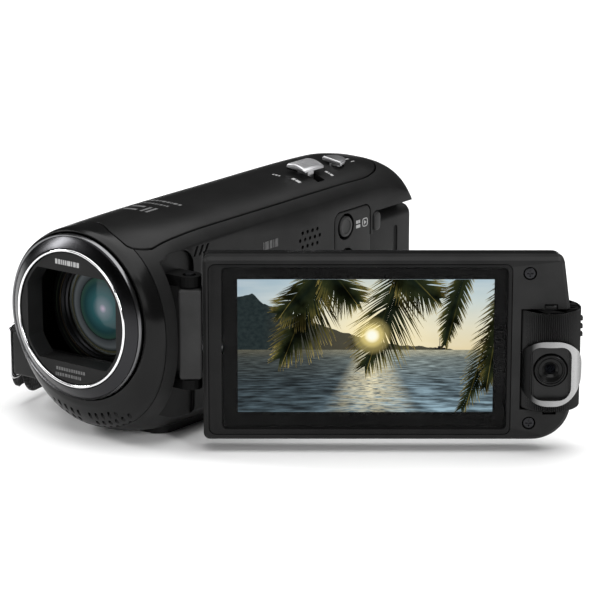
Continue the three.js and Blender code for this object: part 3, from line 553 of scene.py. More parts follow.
def section_loop(y, wall, steps=208):
    """The outline of the body at y, moved inwards by a wall."""
    top, bottom, right, left, square = section_at(y)
    half = (top - bottom) / 2 - wall
    points = []
    for i in range(steps):
        turn = 2 * math.pi * (i + 0.5) / steps
        c, s = math.cos(turn), math.sin(turn)
        wide = (right if c > 0 else left) - wall
        power = 2 / (GRIP_SHOULDER if c < 0 < s else square)
        x = wide * math.copysign(abs(c) ** power, c)
        z = (top + bottom) / 2 + half * math.copysign(abs(s) ** power, s)
        points.append((x, y, z))
    return points


def envelope(wall, name="envelope"):
    """The body's solid shape, moved inwards by a wall."""
    first, last = SECTIONS[0][0] + wall, SECTIONS[-1][0] - wall
    stations = []
    for (y0, *_), (y1, *_) in zip(SECTIONS, SECTIONS[1:]):
        parts = max(4, round((y1 - y0) / 1.6))
        stations += [y0 + (y1 - y0) * i / parts for i in range(parts)]
    stations = [first] + [y for y in stations if first < y < last] + [last]
    return skin(name, [section_loop(y, wall) for y in stations])


def surface_z(x, y):
    """Height of the body's top at a point seen from above."""
    top, bottom, right, left, square = section_at(y)
    if x < 0:
        right, square = left, GRIP_SHOULDER
    return (top + bottom) / 2 + (top - bottom) / 2 * (1 - abs(x / right) ** square) ** (1 / square)


def panel_sweep(radius, start):
    """The space the panel sweeps when it turns about its own length."""
    drum = rod("x", (start, start + 80), (0, 0), radius, steps=120)
    return placed(drum, PANEL)


def placed(piece, place):
    """The piece with a transform applied to its mesh."""
    piece.data.transform(place)
    return piece


def drum_hollow(radius):
    """The hollow beside the turning camera when the screen is folded in."""
    hinge = JOINTS["screen_tilt"]["pos_m"]
    low, high = DRUM_LOW_Z + hinge[2] / MM, DRUM_HIGH_Z + hinge[2] / MM
    centre = (hinge[0] / MM, hinge[1] / MM + DRUM_X)
    return rod("z", (low - 1, high + 1), centre, radius, steps=96)


def top_outline(grow):
    """The top cover seen from above: a rounded back, and a front edge dipping behind the barrel."""
    left, right = -17 - grow, 16.5 + grow
    front, straight_end, back = -57 - grow, 38, 55.6 + grow
    centre, half = (left + right) / 2, (right - left) / 2
    points = []
    for i in range(33):
        turn = math.pi * i / 32
        across = math.copysign(abs(math.cos(turn)) ** 0.8, math.cos(turn))
        along = (back - straight_end) * math.sin(turn) ** 0.8
        points.append((centre + half * across, straight_end + along))
    for i in range(41):
        t = i / 40
        x = left + (right - left) * t
        dip = 3.4 * math.exp(-((x / 6) ** 2))
        corner = 6.0 * (1 - min(1, min(t, 1 - t) * 8)) ** 2.2
        points.append((x, front + dip + corner))
    return points


def top_block(grow):
    """The region of the body that belongs to the top cover."""
    return cut(slab("cutter", top_outline(grow), "z", (42, 70)), envelope(1.25 * WALL))


def front_region(grow):
    """The region of the body that belongs to the front housing."""
    face = box((-FAR, FAR), (-FAR, PARTING_Y + grow), (-FAR, FAR))
    tongue = box((-11.5 - grow, 11.5 + grow), (-60, -54.2 + grow), (50, FAR))
    return join(face, tongue)


def base_block(grow):
    """The region of the body that belongs to the base cover."""
    low, high = span("base_cover")
    outline = rectangle(low.x - grow, high.x + grow, low.y - grow, high.y + grow, 4)
    return slab("cutter", outline, "z", (-5 if grow else low.z, high.z + grow), steps=3)


def body_shell():
    """The whole casing, hollowed and opened, before it is split."""
    battery_bay_z = 45.6
    inner_side = box((SIDE_X - WALL, FAR), (BAY_FRONT_Y - WALL, FAR), (-FAR, BAY_TOP_Z + WALL))
    hollow = cut(
        envelope(WALL),
        inner_side,
        panel_sweep(PANEL_SWEEP_R + WALL, PANEL_SWEEP_START - WALL),
        drum_hollow(DRUM_R + DRUM_ROOM + WALL),
    )
    pocket = rectangle(BAY_FRONT_Y, -38, 4, BAY_TOP_Z - 1.2, 5, 12)
    return cut(
        envelope(0),
        hollow,
        box((SIDE_X, FAR), (BAY_FRONT_Y, FAR), (-FAR, BAY_TOP_Z)),
        slab("cutter", pocket, "x", (18.7, FAR)),
        box((-19.4, FAR), (43.4, FAR), (-FAR, battery_bay_z)),
        panel_sweep(PANEL_SWEEP_R, PANEL_SWEEP_START),
        drum_hollow(DRUM_R + DRUM_ROOM),
        rod("y", (-FAR, -54), (0, AXIS_Z), 22.5, steps=160),
    )


def slot_holes():
    """Two staggered rows of small slots under the lens, in front of the microphones."""
    holes = []
    for row, y in enumerate((-59.6, -57.9, -56.2, -54.5)):
        for side in (-1, 1):
            for i in range(6):
                x = side * (2.0 + 2.2 * i + 1.1 * (row % 2))
                outline = rectangle(x - 0.5, x + 0.5, y - 0.62, y + 0.62, 0.45, 4)
                holes.append(slab("hole", outline, "z", (-3, 10)))
    return gather("cutter", holes)


def record_hole():
    """The hole for the record button."""
    centre = middle("record_button")
    return rod("y", (40, 70), (centre.x, centre.z), 2.9 + GAP)


def casing():
    """Splits the shell into front housing, top, left and right covers."""
    shell = body_shell()
    front = copy_of(shell, "front")
    keep(front, front_region(0))
    cut(front, top_block(1.5 * GAP), slot_holes())
    stands_for(front, "front_housing", GLOSS, angle=38)
    top = keep(copy_of(shell, "top"), top_block(0))
    cut(top, *lever_openings())
    stands_for(top, "top_cover", SATIN, angle=38)
    sides = cut(shell, front_region(GAP), top_block(1.5 * GAP), base_block(GAP), record_hole())
    left = cut(copy_of(sides, "left"), box((-FAR, SEAM_X + GAP / 2), (-FAR, FAR), (-FAR, FAR)))
    cut(left, *left_openings())
    stands_for(left, "left_cover", SIDE, angle=38)
    right = cut(sides, box((SEAM_X - GAP / 2, FAR), (-FAR, FAR), (-FAR, FAR)))
    stands_for(right, "right_cover", SATIN, angle=38)


def lever_openings():
    """Openings in the top for the zoom lever and the photo button."""
    lever = middle("zoom_lever")
    button = middle("photo_button")
    slot = box((lever.x - 5.6, lever.x + 5.6), (lever.y - 1.6, lever.y + 1.6), (50, 70))
    hole = rod("z", (50, 70), (button.x, button.y - 0.3), 2.3)
    return slot, hole


def left_openings():
    """Openings in the screen-side wall."""
    plate_low, plate_high = span("button_plate")
    outline = rectangle(
        plate_low.y - GAP, plate_high.y + GAP, plate_low.z - GAP, plate_high.z + GAP, 2.7
    )
    return (
        speaker_holes(),
        slab("cutter", outline, "x", (SIDE_X - 4, FAR)),
        slab("cutter", rectangle(41.0, 45.0, 37.2, 45.7, 1.9), "x", (SIDE_X - 4, FAR)),
        slab("cutter", rectangle(-6.3, 16.3, 9.7, 30.3, 1.8), "x", (SIDE_X - 4, FAR)),
        vent_slots(),
    )


def speaker_holes():
    """Three rows of small holes over the speaker."""
    holes = []
    centre = middle("speaker")
    pitch = 2.2
    for row, count in enumerate((4, 5, 4)):
        for i in range(count):
            y = centre.y + (i - (count - 1) / 2) * pitch
            z = centre.z + 0.6 + (1 - row) * pitch * 0.9
            holes.append(rod("x", (SIDE_X - 4, SIDE_X + 2), (y, z), 0.55, steps=20))
    return gather("cutter", holes)


def vent_slots():
    """Three slanted slots high on the side wall, behind the hinge."""
    slots = []
    for i in range(3):
        y = -38.2 + 2.2 * i
        outline = [(y, 48.6), (y + 1.0, 48.6), (y + 2.4, 51.2), (y + 1.4, 51.2)]
        slots.append(slab("slot", outline, "x", (SIDE_X - 1.2, SIDE_X + 2)))
    return gather("cutter", slots)


# ---- lens front -------------------------------------------------------------------------
def lens_front():
    """The lens bezel, its bright rim and the chrome ring."""
    ring_low, ring_high = span("lens_trim_ring")
    bezel_high = span("lens_bezel")[1]
    ring_r, bezel_r = radius_of("lens_trim_ring"), radius_of("lens_bezel")
    front = ring_low.y
    inner = ring_r + 0.25
    cone = [
        (inner, front + 0.3),
        (bezel_r - 0.75, front + 1.75),
        (bezel_r - 0.62, front + 1.9),
        (bezel_r - 0.62, bezel_high.y),
        (bezel_r - 1.3, bezel_high.y),
        (bezel_r - 1.3, front + 2.5),
        (inner, front + 2.5),
    ]
    stands_for(turned("bezel", cone), "lens_bezel", GUNMETAL)
    rim = [(bezel_r - 0.58, front + 1.95), (bezel_r - 0.2, front + 1.8), (bezel_r, front + 2.3)]
    rim += [(bezel_r, front + 3.6), (bezel_r - 0.58, front + 3.6)]
    fit(turned("lens_rim", rim), "body", RIM)
    back = ring_high.y
    nose = [(ring_r - 0.375 + 0.375 * math.cos(t), front + 0.375 - 0.375 * math.sin(t))
            for t in [math.pi * i / 10 for i in range(11)]]
    stands_for(turned("ring", nose + [(ring_r - 0.75, back), (ring_r, back)]), "lens_trim_ring", CHROME)
    lens_plate(ring_r, front)


def lens_plate(ring_r, front):
    """The black plate round the window."""
    low, high = span("lens_plate")
    outer = radius_of("lens_plate")
    profile = [
        (0, low.y),
        (ring_r - 1.0, low.y),
        (ring_r - 1.0, front + 2.7),
        (outer, front + 2.7),
        (outer, high.y),
        (0, high.y),
    ]
    plate = turned("plate", profile)
    window = rectangle(-15.2, 15.2, AXIS_Z - 12.2, AXIS_Z + 12.2, 0.8, 5)
    round_end = rod("y", (-75, -45), (0, AXIS_Z), ring_r - 1.7, steps=120)
    cut(plate, keep(slab("cutter", window, "y", (-70, -50)), round_end))
    stands_for(plate, "lens_plate", PLATE)
    lens_marks(low.y)


def marks(name, rows, place_point, material, body, thick=0.04):
    """Short printed dashes in rows: each row is (u, v, height, dash lengths with gaps between)."""
    mesh = bmesh.new()
    for u, v, height, lengths, gap in rows:
        for length in lengths:
            dash(mesh, u, u + length, v, v + height, place_point, thick)
            u += length + gap
    return fit(as_object(name, mesh), body, material, angle=80)


def dash(mesh, u0, u1, v0, v1, place_point, thick):
    """One dash, following the surface that place_point gives."""
    across, up = 4, 2
    layers = []
    for lift in (-thick, thick):
        layers.append([
            [mesh.verts.new(Vector(place_point(
                u0 + (u1 - u0) * i / across, v0 + (v1 - v0) * j / up, lift)) * MM)
             for j in range(up + 1)]
            for i in range(across + 1)
        ])
    for layer in layers:
        for i in range(across):
            for j in range(up):
                mesh.faces.new((layer[i][j], layer[i + 1][j], layer[i + 1][j + 1], layer[i][j + 1]))
    low, high = layers
    rim = [(i, 0) for i in range(across)] + [(across, j) for j in range(up)]
    rim += [(i, up) for i in range(across, 0, -1)] + [(0, j) for j in range(up, 0, -1)]
    for (i, j), (k, m) in zip(rim, rim[1:] + rim[:1]):
        mesh.faces.new((low[i][j], low[k][m], high[k][m], high[i][j]))


def lens_marks(face_y):
    """Plain dashes where the plate has print."""
    def point(u, v, lift):
        return (u, face_y - lift, v)

    upper = [(-5.2, AXIS_Z + 14.0, 1.3, (0.75, 0.75, 0.4, 0.4, 0.4, 1.1, 0.4, 0.9, 0.8), 0.28)]
    lower = [
        (-5.6, AXIS_Z - 14.6, 0.85, (0.6,) * 7 + (0.45,) + (0.6,) * 4, 0.26),
        (-5.9, AXIS_Z - 16.2, 0.85, (0.35, 0.5, 0.6, 0.6, 0.9, 0.6, 0.6, 0.35, 0.5, 0.3, 0.5), 0.3),
    ]
    marks("plate_marks_upper", upper, point, INK, "body")
    marks("plate_marks_lower", lower, point, FAINT_INK, "body")


def lens_inside():
    """What shows through the window: retainer, front glass, the barrel's cone and the groups behind."""
    low, high = span("front_retainer")
    outer = radius_of("front_retainer")
    ring = [(13.4, low.y), (outer, low.y), (outer, high.y), (12.6, high.y)]
    steps = [(12.6, low.y + 1.6), (13.0, low.y + 1.2), (13.0, low.y + 0.6)]
    stands_for(turned("retainer", ring + steps), "front_retainer", BLACK_STEEL)
    for i, (radius, colour) in enumerate([(13.9, (0.09, 0.07, 0.04)), (15.1, (0.05, 0.07, 0.045))]):
        line = [(radius, low.y - 0.06), (radius + 0.14, low.y - 0.06)]
        line += [(radius + 0.14, low.y + 0.1), (radius, low.y + 0.1)]
        shade = metal(f"coating_line_{i}", colour, 0.3)
        fit(turned(f"coating_line_{i}", line), "body", shade)
    glass_low, glass_high = span("front_element")
    dome = cap_profile(radius_of("front_element"), glass_low.y + 1.6, 1.6, glass_high.y)
    stands_for(turned("front_glass", dome), "front_element", ELEMENT_GLASS, angle=60)
    stands_for(barrel_cone(), "lens_barrel", CONE, angle=40)
    for name, depth in (("zoom_lens_group", 1.7), ("focus_lens_group", 1.0)):
        group_low, group_high = span(name)
        dome = cap_profile(radius_of(name), group_low.y + depth, depth, group_high.y)
        stands_for(turned(name, dome), name, GROUP_GLASS, angle=60)


def cap_profile(radius, rim_y, bulge, back_y, steps=14):
    """A lens: a curved front face, a straight edge and a flat back."""
    points = []
    for i in range(steps + 1):
        r = radius * i / steps
        points.append((r, rim_y - bulge * (1 - (r / radius) ** 2)))
    return points + [(radius, back_y), (0, back_y)]


def barrel_cone():
    """The stepped inside of the lens barrel."""
    low, high = span("lens_barrel")
    outer = radius_of("lens_barrel")
    inside = [(13.0, low.y), (12.1, low.y + 1.4), (12.1, low.y + 2.0), (9.9, high.y - 4.4)]
    inside += [(9.9, high.y - 3.9), (8.7, high.y - 2.0), (8.7, high.y)]
    return turned("cone", inside + [(10.6, high.y), (outer, high.y - 1.4), (outer, low.y)])


def painted_ring_glass(name, radius_mm, stops):
    """Coated glass seen into: painted reflections and painted shade as colour by distance from the optical axis,
    with a faint painted glow of its own.
    """
    material, tree, shader = blank(name, Roughness=0.12, Specular_IOR_Level=0.25)
    where = node(tree, "TexCoord").outputs["Object"]
    parts = node(tree, "SeparateXYZ", {"Vector": where})
    rise = node(tree, "Math", {0: parts.outputs["Z"]}, operation="SUBTRACT")
    rise.inputs[1].default_value = AXIS_Z * MM
    flat = node(tree, "CombineXYZ", {"X": parts.outputs["X"], "Y": rise.outputs[0]})
    radius = node(tree, "VectorMath", {0: flat.outputs[0]}, operation="LENGTH").outputs["Value"]
    share = node(tree, "Math", {0: radius}, operation="MULTIPLY")
    share.inputs[1].default_value = 1 / (radius_mm * MM)
    colour = ramp(tree, share.outputs[0], stops)
    tree.links.new(colour, shader.inputs["Base Color"])
    # Painted glow: the ring colours are given off as light of the glass's own.
    tree.links.new(colour, shader.inputs["Emission Color"])
    shader.inputs["Emission Strength"].default_value = 1.0
    material.cycles.emission_sampling = "NONE"
    return material


# Painted rings in the inner groups: a lighter middle and teal rings as painted reflections, darker towards the rim
# as painted shade.
GROUP_GLASS = painted_ring_glass("group_glass", 8.0, [
    (0.0, (0.1, 0.1, 0.11)), (0.42, (0.02, 0.085, 0.085)), (0.7, (0.01, 0.04, 0.04)),
    (0.78, (0.04, 0.08, 0.05)), (1.0, (0.004, 0.01, 0.01)),
])
# Painted highlight at the front glass's middle, then painted reflections and painted shade in rings further out.
ELEMENT_GLASS = painted_ring_glass("element_glass", 12.2, [
    (0.0, (0.24, 0.2, 0.26)), (0.1, (0.07, 0.095, 0.11)), (0.3, (0.012, 0.045, 0.05)),
    (0.54, (0.006, 0.02, 0.022)), (0.66, (0.012, 0.028, 0.022)), (0.7, (0.006, 0.008, 0.008)),
    (0.73, (0.02, 0.023, 0.025)), (0.88, (0.045, 0.05, 0.053)), (0.95, (0.008, 0.01, 0.01)),
    (1.0, (0.03, 0.027, 0.012)),
])


def collar_painted_reflection():
    """Brushed collar, its light painted into its colour: a painted bright crescent at the hinge-side edge, painted
    shade across its hinge side and a painted bright reflection on the other side.
    """
    material, tree, shader = blank("collar_painted_reflection", Metallic=1.0)
    parts = node(tree, "SeparateXYZ", {"Vector": node(tree, "TexCoord").outputs["Generated"]})
    # Painted reflection across the collar: painted highlight at the hinge-side edge, painted shade on the hinge
    # side, painted bright reflection further over, darker again at the far edge.
    stops = [(0.0, 0.3), (0.03, 0.012), (0.2, 0.014), (0.34, 0.2), (0.75, 0.34), (0.9, 0.4), (1.0, 0.08)]
    tree.links.new(ramp(tree, parts.outputs["X"], stops), shader.inputs["Base Color"])
    rough = ramp(tree, noise(tree, 160, 4), [(0.3, 0.2), (0.7, 0.3)])
    tree.links.new(rough, shader.inputs["Roughness"])
    return material


COLLAR = collar_painted_reflection()


def barrier():
    """The four leaves of the lens barrier."""
    for side in ("upper", "lower"):
        for layer in ("lead", "trail"):
            name = f"barrier_{side}_{layer}"
            low, high = span(name)
            outline = rectangle(low.x, high.x, low.z, high.z, 0.4, 4)
            leaf = slab(name, outline, "y", (low.y, high.y), (0.15, 0.15))
            keep(leaf, rod("y", (-60, -50), (0, AXIS_Z), 21.2, steps=120))
            stands_for(leaf, name, SATIN)


# ---- controls ---------------------------------------------------------------------------
def zoom_lever():
    """A saddle plate on a neck, with fine cross-hatching on its top."""
    low, high = span("zoom_lever")
    x = middle("zoom_lever").x + 0.1
    left, right = low.x + 0.5, high.x - 0.6

    def crown(u):
        share = (u - left) / (right - left)
        return high.z - 0.15 - 0.95 * share + 0.5 * math.sin(math.pi * share)

    outline = [(right + 0.5, high.z - 2.1), (right + 0.6, high.z - 1.5)]
    outline += [(u, crown(u)) for u in [right + (left - right) * i / 24 for i in range(25)]]
    outline += [(left - 0.4, high.z - 0.5), (left - 0.5, high.z - 1.4)]
    saddle = slab("lever", outline, "y", (low.y, high.y), (0.4, 0.4), 4)
    ribs = []
    for i in range(11):
        u = left + 0.35 + i * (right - left - 0.7) / 10
        ribs.append(rod("y", (low.y + 0.8, high.y - 0.8), (u, crown(u) + 0.06), 0.17, steps=8))
    cut(saddle, gather("cutter", ribs))
    neck = box((x - 1.8, x + 1.8), (low.y + 3.2, high.y - 3.2), (low.z + 0.4, high.z - 1.2))
    foot = box((x - 2.6, x + 2.6), (low.y + 1.9, high.y - 1.9), (low.z, low.z + 1.2))
    stands_for(join(saddle, neck, foot), "zoom_lever", SILVER)


def photo_button():
    """A button with a flat front and a round back, following the slope of the top."""
    low, high = span("photo_button")
    x, half, deep, slope = middle("photo_button").x, 3.2, 5.0, 0.15
    turns = [math.pi * i / 40 for i in range(41)]
    outline = [(half * math.cos(t), deep * math.sin(t)) for t in turns]
    cap = slab("photo", outline, "z", (-0.3, 0.95), (0.2, 0.45), 5)
    base = Vector((x, low.y, high.z - 1.4)) * MM
    placed(cap, Matrix.Translation(base) @ Matrix.Rotation(slope, 4, "Y"))
    join(cap, rod("z", (low.z, high.z - 1.5), (x, low.y + 2.2), 1.9))
    stands_for(cap, "photo_button", SILVER)


def record_button():
    """The button at the rear with a red dot."""
    low, high = span("record_button")
    centre = middle("record_button")
    place, radius = (centre.x, centre.z), radius_of("record_button")
    button = rod("y", (low.y, high.y), place, radius, (0, 0.7), name="record")
    cut(button, rod("y", (high.y - 0.3, high.y + 5), place, 1.8, (0.25, 0)))
    stands_for(button, "record_button", SILVER)
    dot = rod("y", (high.y - 0.5, high.y - 0.12), place, 1.2, (0, 0.12), name="record_dot")
    red = moulded("record_red", (0.5, 0.012, 0.01), 0.3, 0.5)
    fit(dot, "record_button", red)


SIDE_BUTTONS = ("playback_button", "effect_button", "power_button")


def side_controls():
    """Buttons, their plate, the battery latch and the terminal cover."""
    for name in SIDE_BUTTONS:
        low, high = span(name)
        centre = middle(name)
        button = rod("x", (low.x, high.x), (centre.y, centre.z), (high.y - low.y) / 2, (0, 0.3), name=name)
        cut(button, rod("x", (high.x - 0.12, FAR), (centre.y, centre.z), 2.0, (0.1, 0)))
        stands_for(button, name, BUTTON)
    plate_low, plate_high = span("button_plate")
    outline = rectangle(plate_low.y, plate_high.y, plate_low.z, plate_high.z, 2.4)
    plate = slab("plate", outline, "x", (plate_low.x, plate_high.x), (0, 0.25))
    for name in SIDE_BUTTONS:
        centre = middle(name)
        cut(plate, rod("x", (plate_low.x - 1, FAR), (centre.y, centre.z), 3.75))
    stands_for(plate, "button_plate", SIDE)
    low, high = span("battery_release")
    latch = slab("latch", rectangle(low.y, high.y, low.z, high.z, 1.5), "x", (low.x, high.x), (0, 0.5))
    stands_for(latch, "battery_release", BUTTON)
    terminal_door()


def terminal_door():
    """The terminal cover with its fingernail nick."""
    low, high = span("terminal_cover")
    door = slab("door", rectangle(low.y, high.y, low.z, high.z, 1.5), "x", (low.x, high.x), (0, 0.3))
    nail = rectangle(high.y - 2.6, high.y - 0.8, 17, 23, 0.85)
    nick = slab("cutter", nail, "x", (high.x - 0.6, FAR), (0.4, 0))
    stands_for(cut(door, nick), "terminal_cover", SIDE)


def side_marks():
    """Plain dashes beside the buttons and on the wall."""
    def point(u, v, lift):
        return (SIDE_X + lift, u, v)

    icons = [
        (33.2, 43.6, 0.9, (0.8, 0.9), 0.15),
        (33.2, 42.3, 0.9, (1.9,), 0.2),
        (33.0, 33.4, 0.9, (0.9, 0.3, 0.9, 0.9), 0.3),
        (33.4, 23.4, 0.9, (0.5, 1.1), 0.3),
    ]
    marks("button_marks", icons, point, INK, "body")
    words = [
        (-8.6, 44.4, 2.2, (0.35, 1.5, 1.1, 0.4, 1.2), 0.45),
        (-6.2, 42.6, 0.7, (0.4, 0.5, 0.4, 0.5, 0.4, 0.6), 0.25),
        (-21.0, 43.6, 0.9, (2.4, 1.4), 0.3),
    ]
    marks("wall_marks", words, point, FAINT_INK, "body")
    frame_line = rectangle(36.1, 38.6, 42.1, 44.6, 0.8, 5)
    ring = slab("icon_frame", frame_line, "x", (SIDE_X - 0.05, SIDE_X + 0.04))
    cut(ring, slab("cutter", inset(frame_line, 0.28), "x", (SIDE_X - 1, FAR)))
    fit(ring, "body", INK)
    arrow = [(36.9, 42.7), (38.0, 43.35), (36.9, 44.0)]
    fit(slab("icon_arrow", arrow, "x", (SIDE_X - 0.05, SIDE_X + 0.04)), "body", INK)


def top_marks():
    """Plain dashes on the top."""
    def point(u, v, lift):
        return (u, v, surface_z(u, v) + lift)

    lever = middle("zoom_lever")
    button = middle("photo_button")
    around = [
        (lever.x + 1.2, lever.y - 8.0, 1.1, (0.9, 1.5), 0.35),
        (lever.x - 4.6, lever.y - 9.2, 0.7, (0.5, 0.8, 0.4), 0.4),
        (lever.x + 2.4, lever.y + 5.6, 0.9, (0.8, 0.3, 0.9), 0.3),
        (button.x - 1.4, button.y + 5.6, 1.6, (0.5, 0.25), 1.7),
    ]
    marks("top_marks", around, point, INK, "body")
    words = [
        (-6.6, -38.5, 4.6, (1.2,), 1.0),
        (-4.2, -38.5, 1.1, (4.4,), 1.0),
        (-4.2, -35.0, 1.1, (4.4,), 1.0),
        (1.6, -38.5, 4.6, (0.9, 0.9), 0.9),
        (-5.6, -30.8, 0.9, (0.5, 0.5, 0.8, 0.3, 0.6, 0.8, 0.5, 0.3, 0.9, 0.5, 0.7), 0.4),
        (-6.6, -27.6, 1.1, (1.4, 0.4, 1.0, 1.0, 0.5, 1.2, 0.9, 0.4, 1.3, 0.9), 0.45),
    ]
    marks("top_words", words, point, FAINT_INK, "body")


# ---- rear, base and grip ----------------------------------------------------------------
def battery():
    """The battery with a contact recess and grip lines."""
    low, high = span("battery")
    outline = rectangle(low.x, high.x, low.z, high.z, 3, 10)
    pack = slab("battery", outline, "y", (low.y, high.y), (0.6, 1.4), 6)
    cut(pack, box((-7, 7), (low.y - 1, low.y + 2.6), (12.5, 21.5)))
    groove = rectangle(56.5, 58.5, 4, 38, 0.95, 6)
    cut(pack, slab("cutter", groove, "x", (high.x - 0.6, FAR), (0.4, 0)))
    grip_lines = []
    for i in range(5):
        z = high.z - 5 - 1.8 * i
        grip_lines.append(rod("x", (-8, 8), (high.y, z), 0.45, steps=16))
    cut(pack, gather("cutter", grip_lines))
    stands_for(pack, "battery", MATTE)


def base():
    """The base cover, the card door and the tripod socket."""
    low, high = span("base_cover")
    outline = rectangle(low.x, high.x, low.y, high.y, 4)
    cover = slab("base", outline, "z", (low.z, high.z), (0.35, 0))
    door_low, door_high = span("card_door")
    hole = rectangle(door_low.x - GAP, door_high.x + GAP, door_low.y - GAP, door_high.y + GAP, 1.8)
    bush = middle("tripod_socket")
    cut(cover, slab("cutter", hole, "z", (-1, 5)), rod("z", (-1, 5), (bush.x, bush.y), 5.6))
    stands_for(cover, "base_cover", MATTE)
    leaf = rectangle(door_low.x, door_high.x, door_low.y, door_high.y, 1.5)
    door = slab("door", leaf, "z", (door_low.z, door_high.z), (0.25, 0))
    nail = rectangle(-4, 2, door_high.y - 3.2, door_high.y - 1.2, 0.9)
    nick = slab("cutter", nail, "z", (-2, 0.8), (0, 0.4))
    stands_for(cut(door, nick), "card_door", MATTE)
    socket_low, socket_high = span("tripod_socket")
    depth, radius = (socket_low.z, socket_high.z), radius_of("tripod_socket")
    socket = rod("z", depth, (bush.x, bush.y), radius, (0.3, 0.2), name="socket")
    cut(socket, rod("z", (-2, 20), (bush.x, bush.y), 3.15))
    stands_for(socket, "tripod_socket", STEEL)


BELT_LINE = [(-33.4, -51.6), (-37.6, -42), (-40.8, -22), (-41.6, 2), (-39.4, 26), (-32.6, 44)]


def belt_point(t):
    """A point of the belt's line and its outward direction, at a share of its length."""
    count = len(BELT_LINE) - 1
    at = min(t * count, count - 1e-6)
    i = int(at)
    f = at - i
    p = [BELT_LINE[max(0, min(count, k))] for k in (i - 1, i, i + 1, i + 2)]
    value, rate = [], []
    for k in range(2):
        a, b, c, d = (q[k] for q in p)
        first, second, third = c - a, 2 * a - 5 * b + 4 * c - d, 3 * b - a - 3 * c + d
        value.append(0.5 * (2 * b + first * f + second * f**2 + third * f**3))
        rate.append(0.5 * (first + 2 * second * f + 3 * third * f**2))
    along = Vector((*rate, 0)).normalized()
    return Vector((*value, 0)), Vector((-along.y, along.x, 0))


def strip(name, start, end, offset, thick, low, high, steps, crown=0.0, soft=0.5, lift=8.0):
    """A band on edge along the belt's line, with rounded rims, narrowed ends and a crowned outside."""
    loops = []
    for i in range(steps + 1):
        t = start + (end - start) * i / steps
        centre, out = belt_point(t)
        taper = min(1.0, 14 * min(i, steps - i) / steps + 0.25)
        near_end = max(0.0, 1 - min(i, steps - i) / (0.16 * steps)) ** 2
        foot, head = low + lift * near_end, high - 0.3 * lift * near_end
        loop = []
        for k in range(40):
            turn = 2 * math.pi * k / 40
            c, s = math.cos(turn), math.sin(turn)
            side = math.copysign(abs(c) ** soft, c) * thick / 2 * taper
            height = math.copysign(abs(s) ** 0.35, s)
            swell = crown * (1 - height**2) * taper * (1 if c < 0 else 0.2)
            point = centre + out * (offset + side - swell)
            loop.append((point.x, point.y, (foot + head) / 2 + height * (head - foot) / 2))
        loops.append(loop)
    return skin(name, loops)


def grip():
    """The belt with its pad, stitches and ends."""
    low, high = span("grip_belt")
    belt = strip("belt", 0.0, 1.0, 0.0, 1.2, low.z, high.z, 90, soft=0.4)
    stands_for(belt, "grip_belt", WEBBING, angle=60)
    low, high = span("grip_pad")
    pad = strip("pad", 0.1, 0.88, -2.1, 2.3, low.z, high.z, 90, crown=0.35, soft=0.6)
    stands_for(pad, "grip_pad", PADDING, angle=70)
    stitches()
    strap_ends()


def stitches():
    """Two lines of thread along the pad's rims."""
    threads = []
    for z in (5.6, 29.9):
        for i in range(60):
            centre, out = belt_point(0.12 + 0.74 * i / 59)
            along = Vector((out.y, -out.x, 0))
            point = centre + out * -0.72
            threads.append(box((-0.55, 0.55), (-0.12, 0.12), (-0.12, 0.12)))
            turn = Matrix.Rotation(math.atan2(along.y, along.x), 4, "Z")
            threads[-1].matrix_world = Matrix.Translation(Vector((point.x, point.y, z)) * MM) @ turn
    bpy.context.view_layer.update()
    fit(gather("pad_stitches", threads), "body", FAINT_THREAD)


def strap_ends():
    """The plastic posts that hold the belt, and the wire loop at the front one."""
    for name in ("strap_lug_front", "strap_lug_rear"):
        low, high = span(name)
        outline = rectangle(low.x, high.x + 2, low.y, high.y, 1.6, 8)
        post = slab(name, outline, "z", (low.z, high.z), (0.8, 0.8), 4)
        cut(post, envelope(-GAP))
        stands_for(post, name, MATTE)
    low, high = span("strap_lug_front")
    wire(low, high)


def wire(low, high):
    """A bright wire loop standing round the front post, which the belt's end is sewn through."""
    centre = Vector((low.x - 0.4, (low.y + high.y) / 2, (low.z + high.z) / 2))
    wide, tall, thick = 1.9, (high.z - low.z) / 2 + 1.3, 0.5
    path = rectangle(-wide, wide, -tall, tall, 1.4, 8)
    loops = []
    for i, (u, v) in enumerate(path):
        u0, v0 = path[i - 1]
        u1, v1 = path[(i + 1) % len(path)]
        out = Vector((v1 - v0, u0 - u1)).normalized()
        ring = []
        for k in range(12):
            turn = 2 * math.pi * k / 12
            side = thick * math.cos(turn)
            away = thick * math.sin(turn)
            ring.append((centre.x + away, centre.y + u + out.x * side, centre.z + v + out.y * side))
        loops.append(ring)
    fit(skin("strap_wire", loops, closed=True), "body", CHROME, angle=80)


# ---- screen panel -----------------------------------------------------------------------
def panel_outline(low, high, soft_corner):
    """The panel from in front: a large lower corner at the far end, a slanted end above it."""
    soft = 1.7
    x0, x1, z0, z1 = low.x, high.x, low.z, high.z
    points = arc(x1 - 10, z0 + 10, 10, -90, 0, 20)
    points += [(x1, 6), (x1 - 1.1, (6 + z1 - soft_corner) / 2)]
    slant = 2.2
    points += arc(x1 - slant - soft_corner, z1 - soft_corner, soft_corner, 0, 90, 8)
    points += arc(x0 + soft, z1 - soft, soft, 90, 180, 8)
    points += arc(x0 + soft, z0 + soft, soft, 180, 270, 8)
    return points


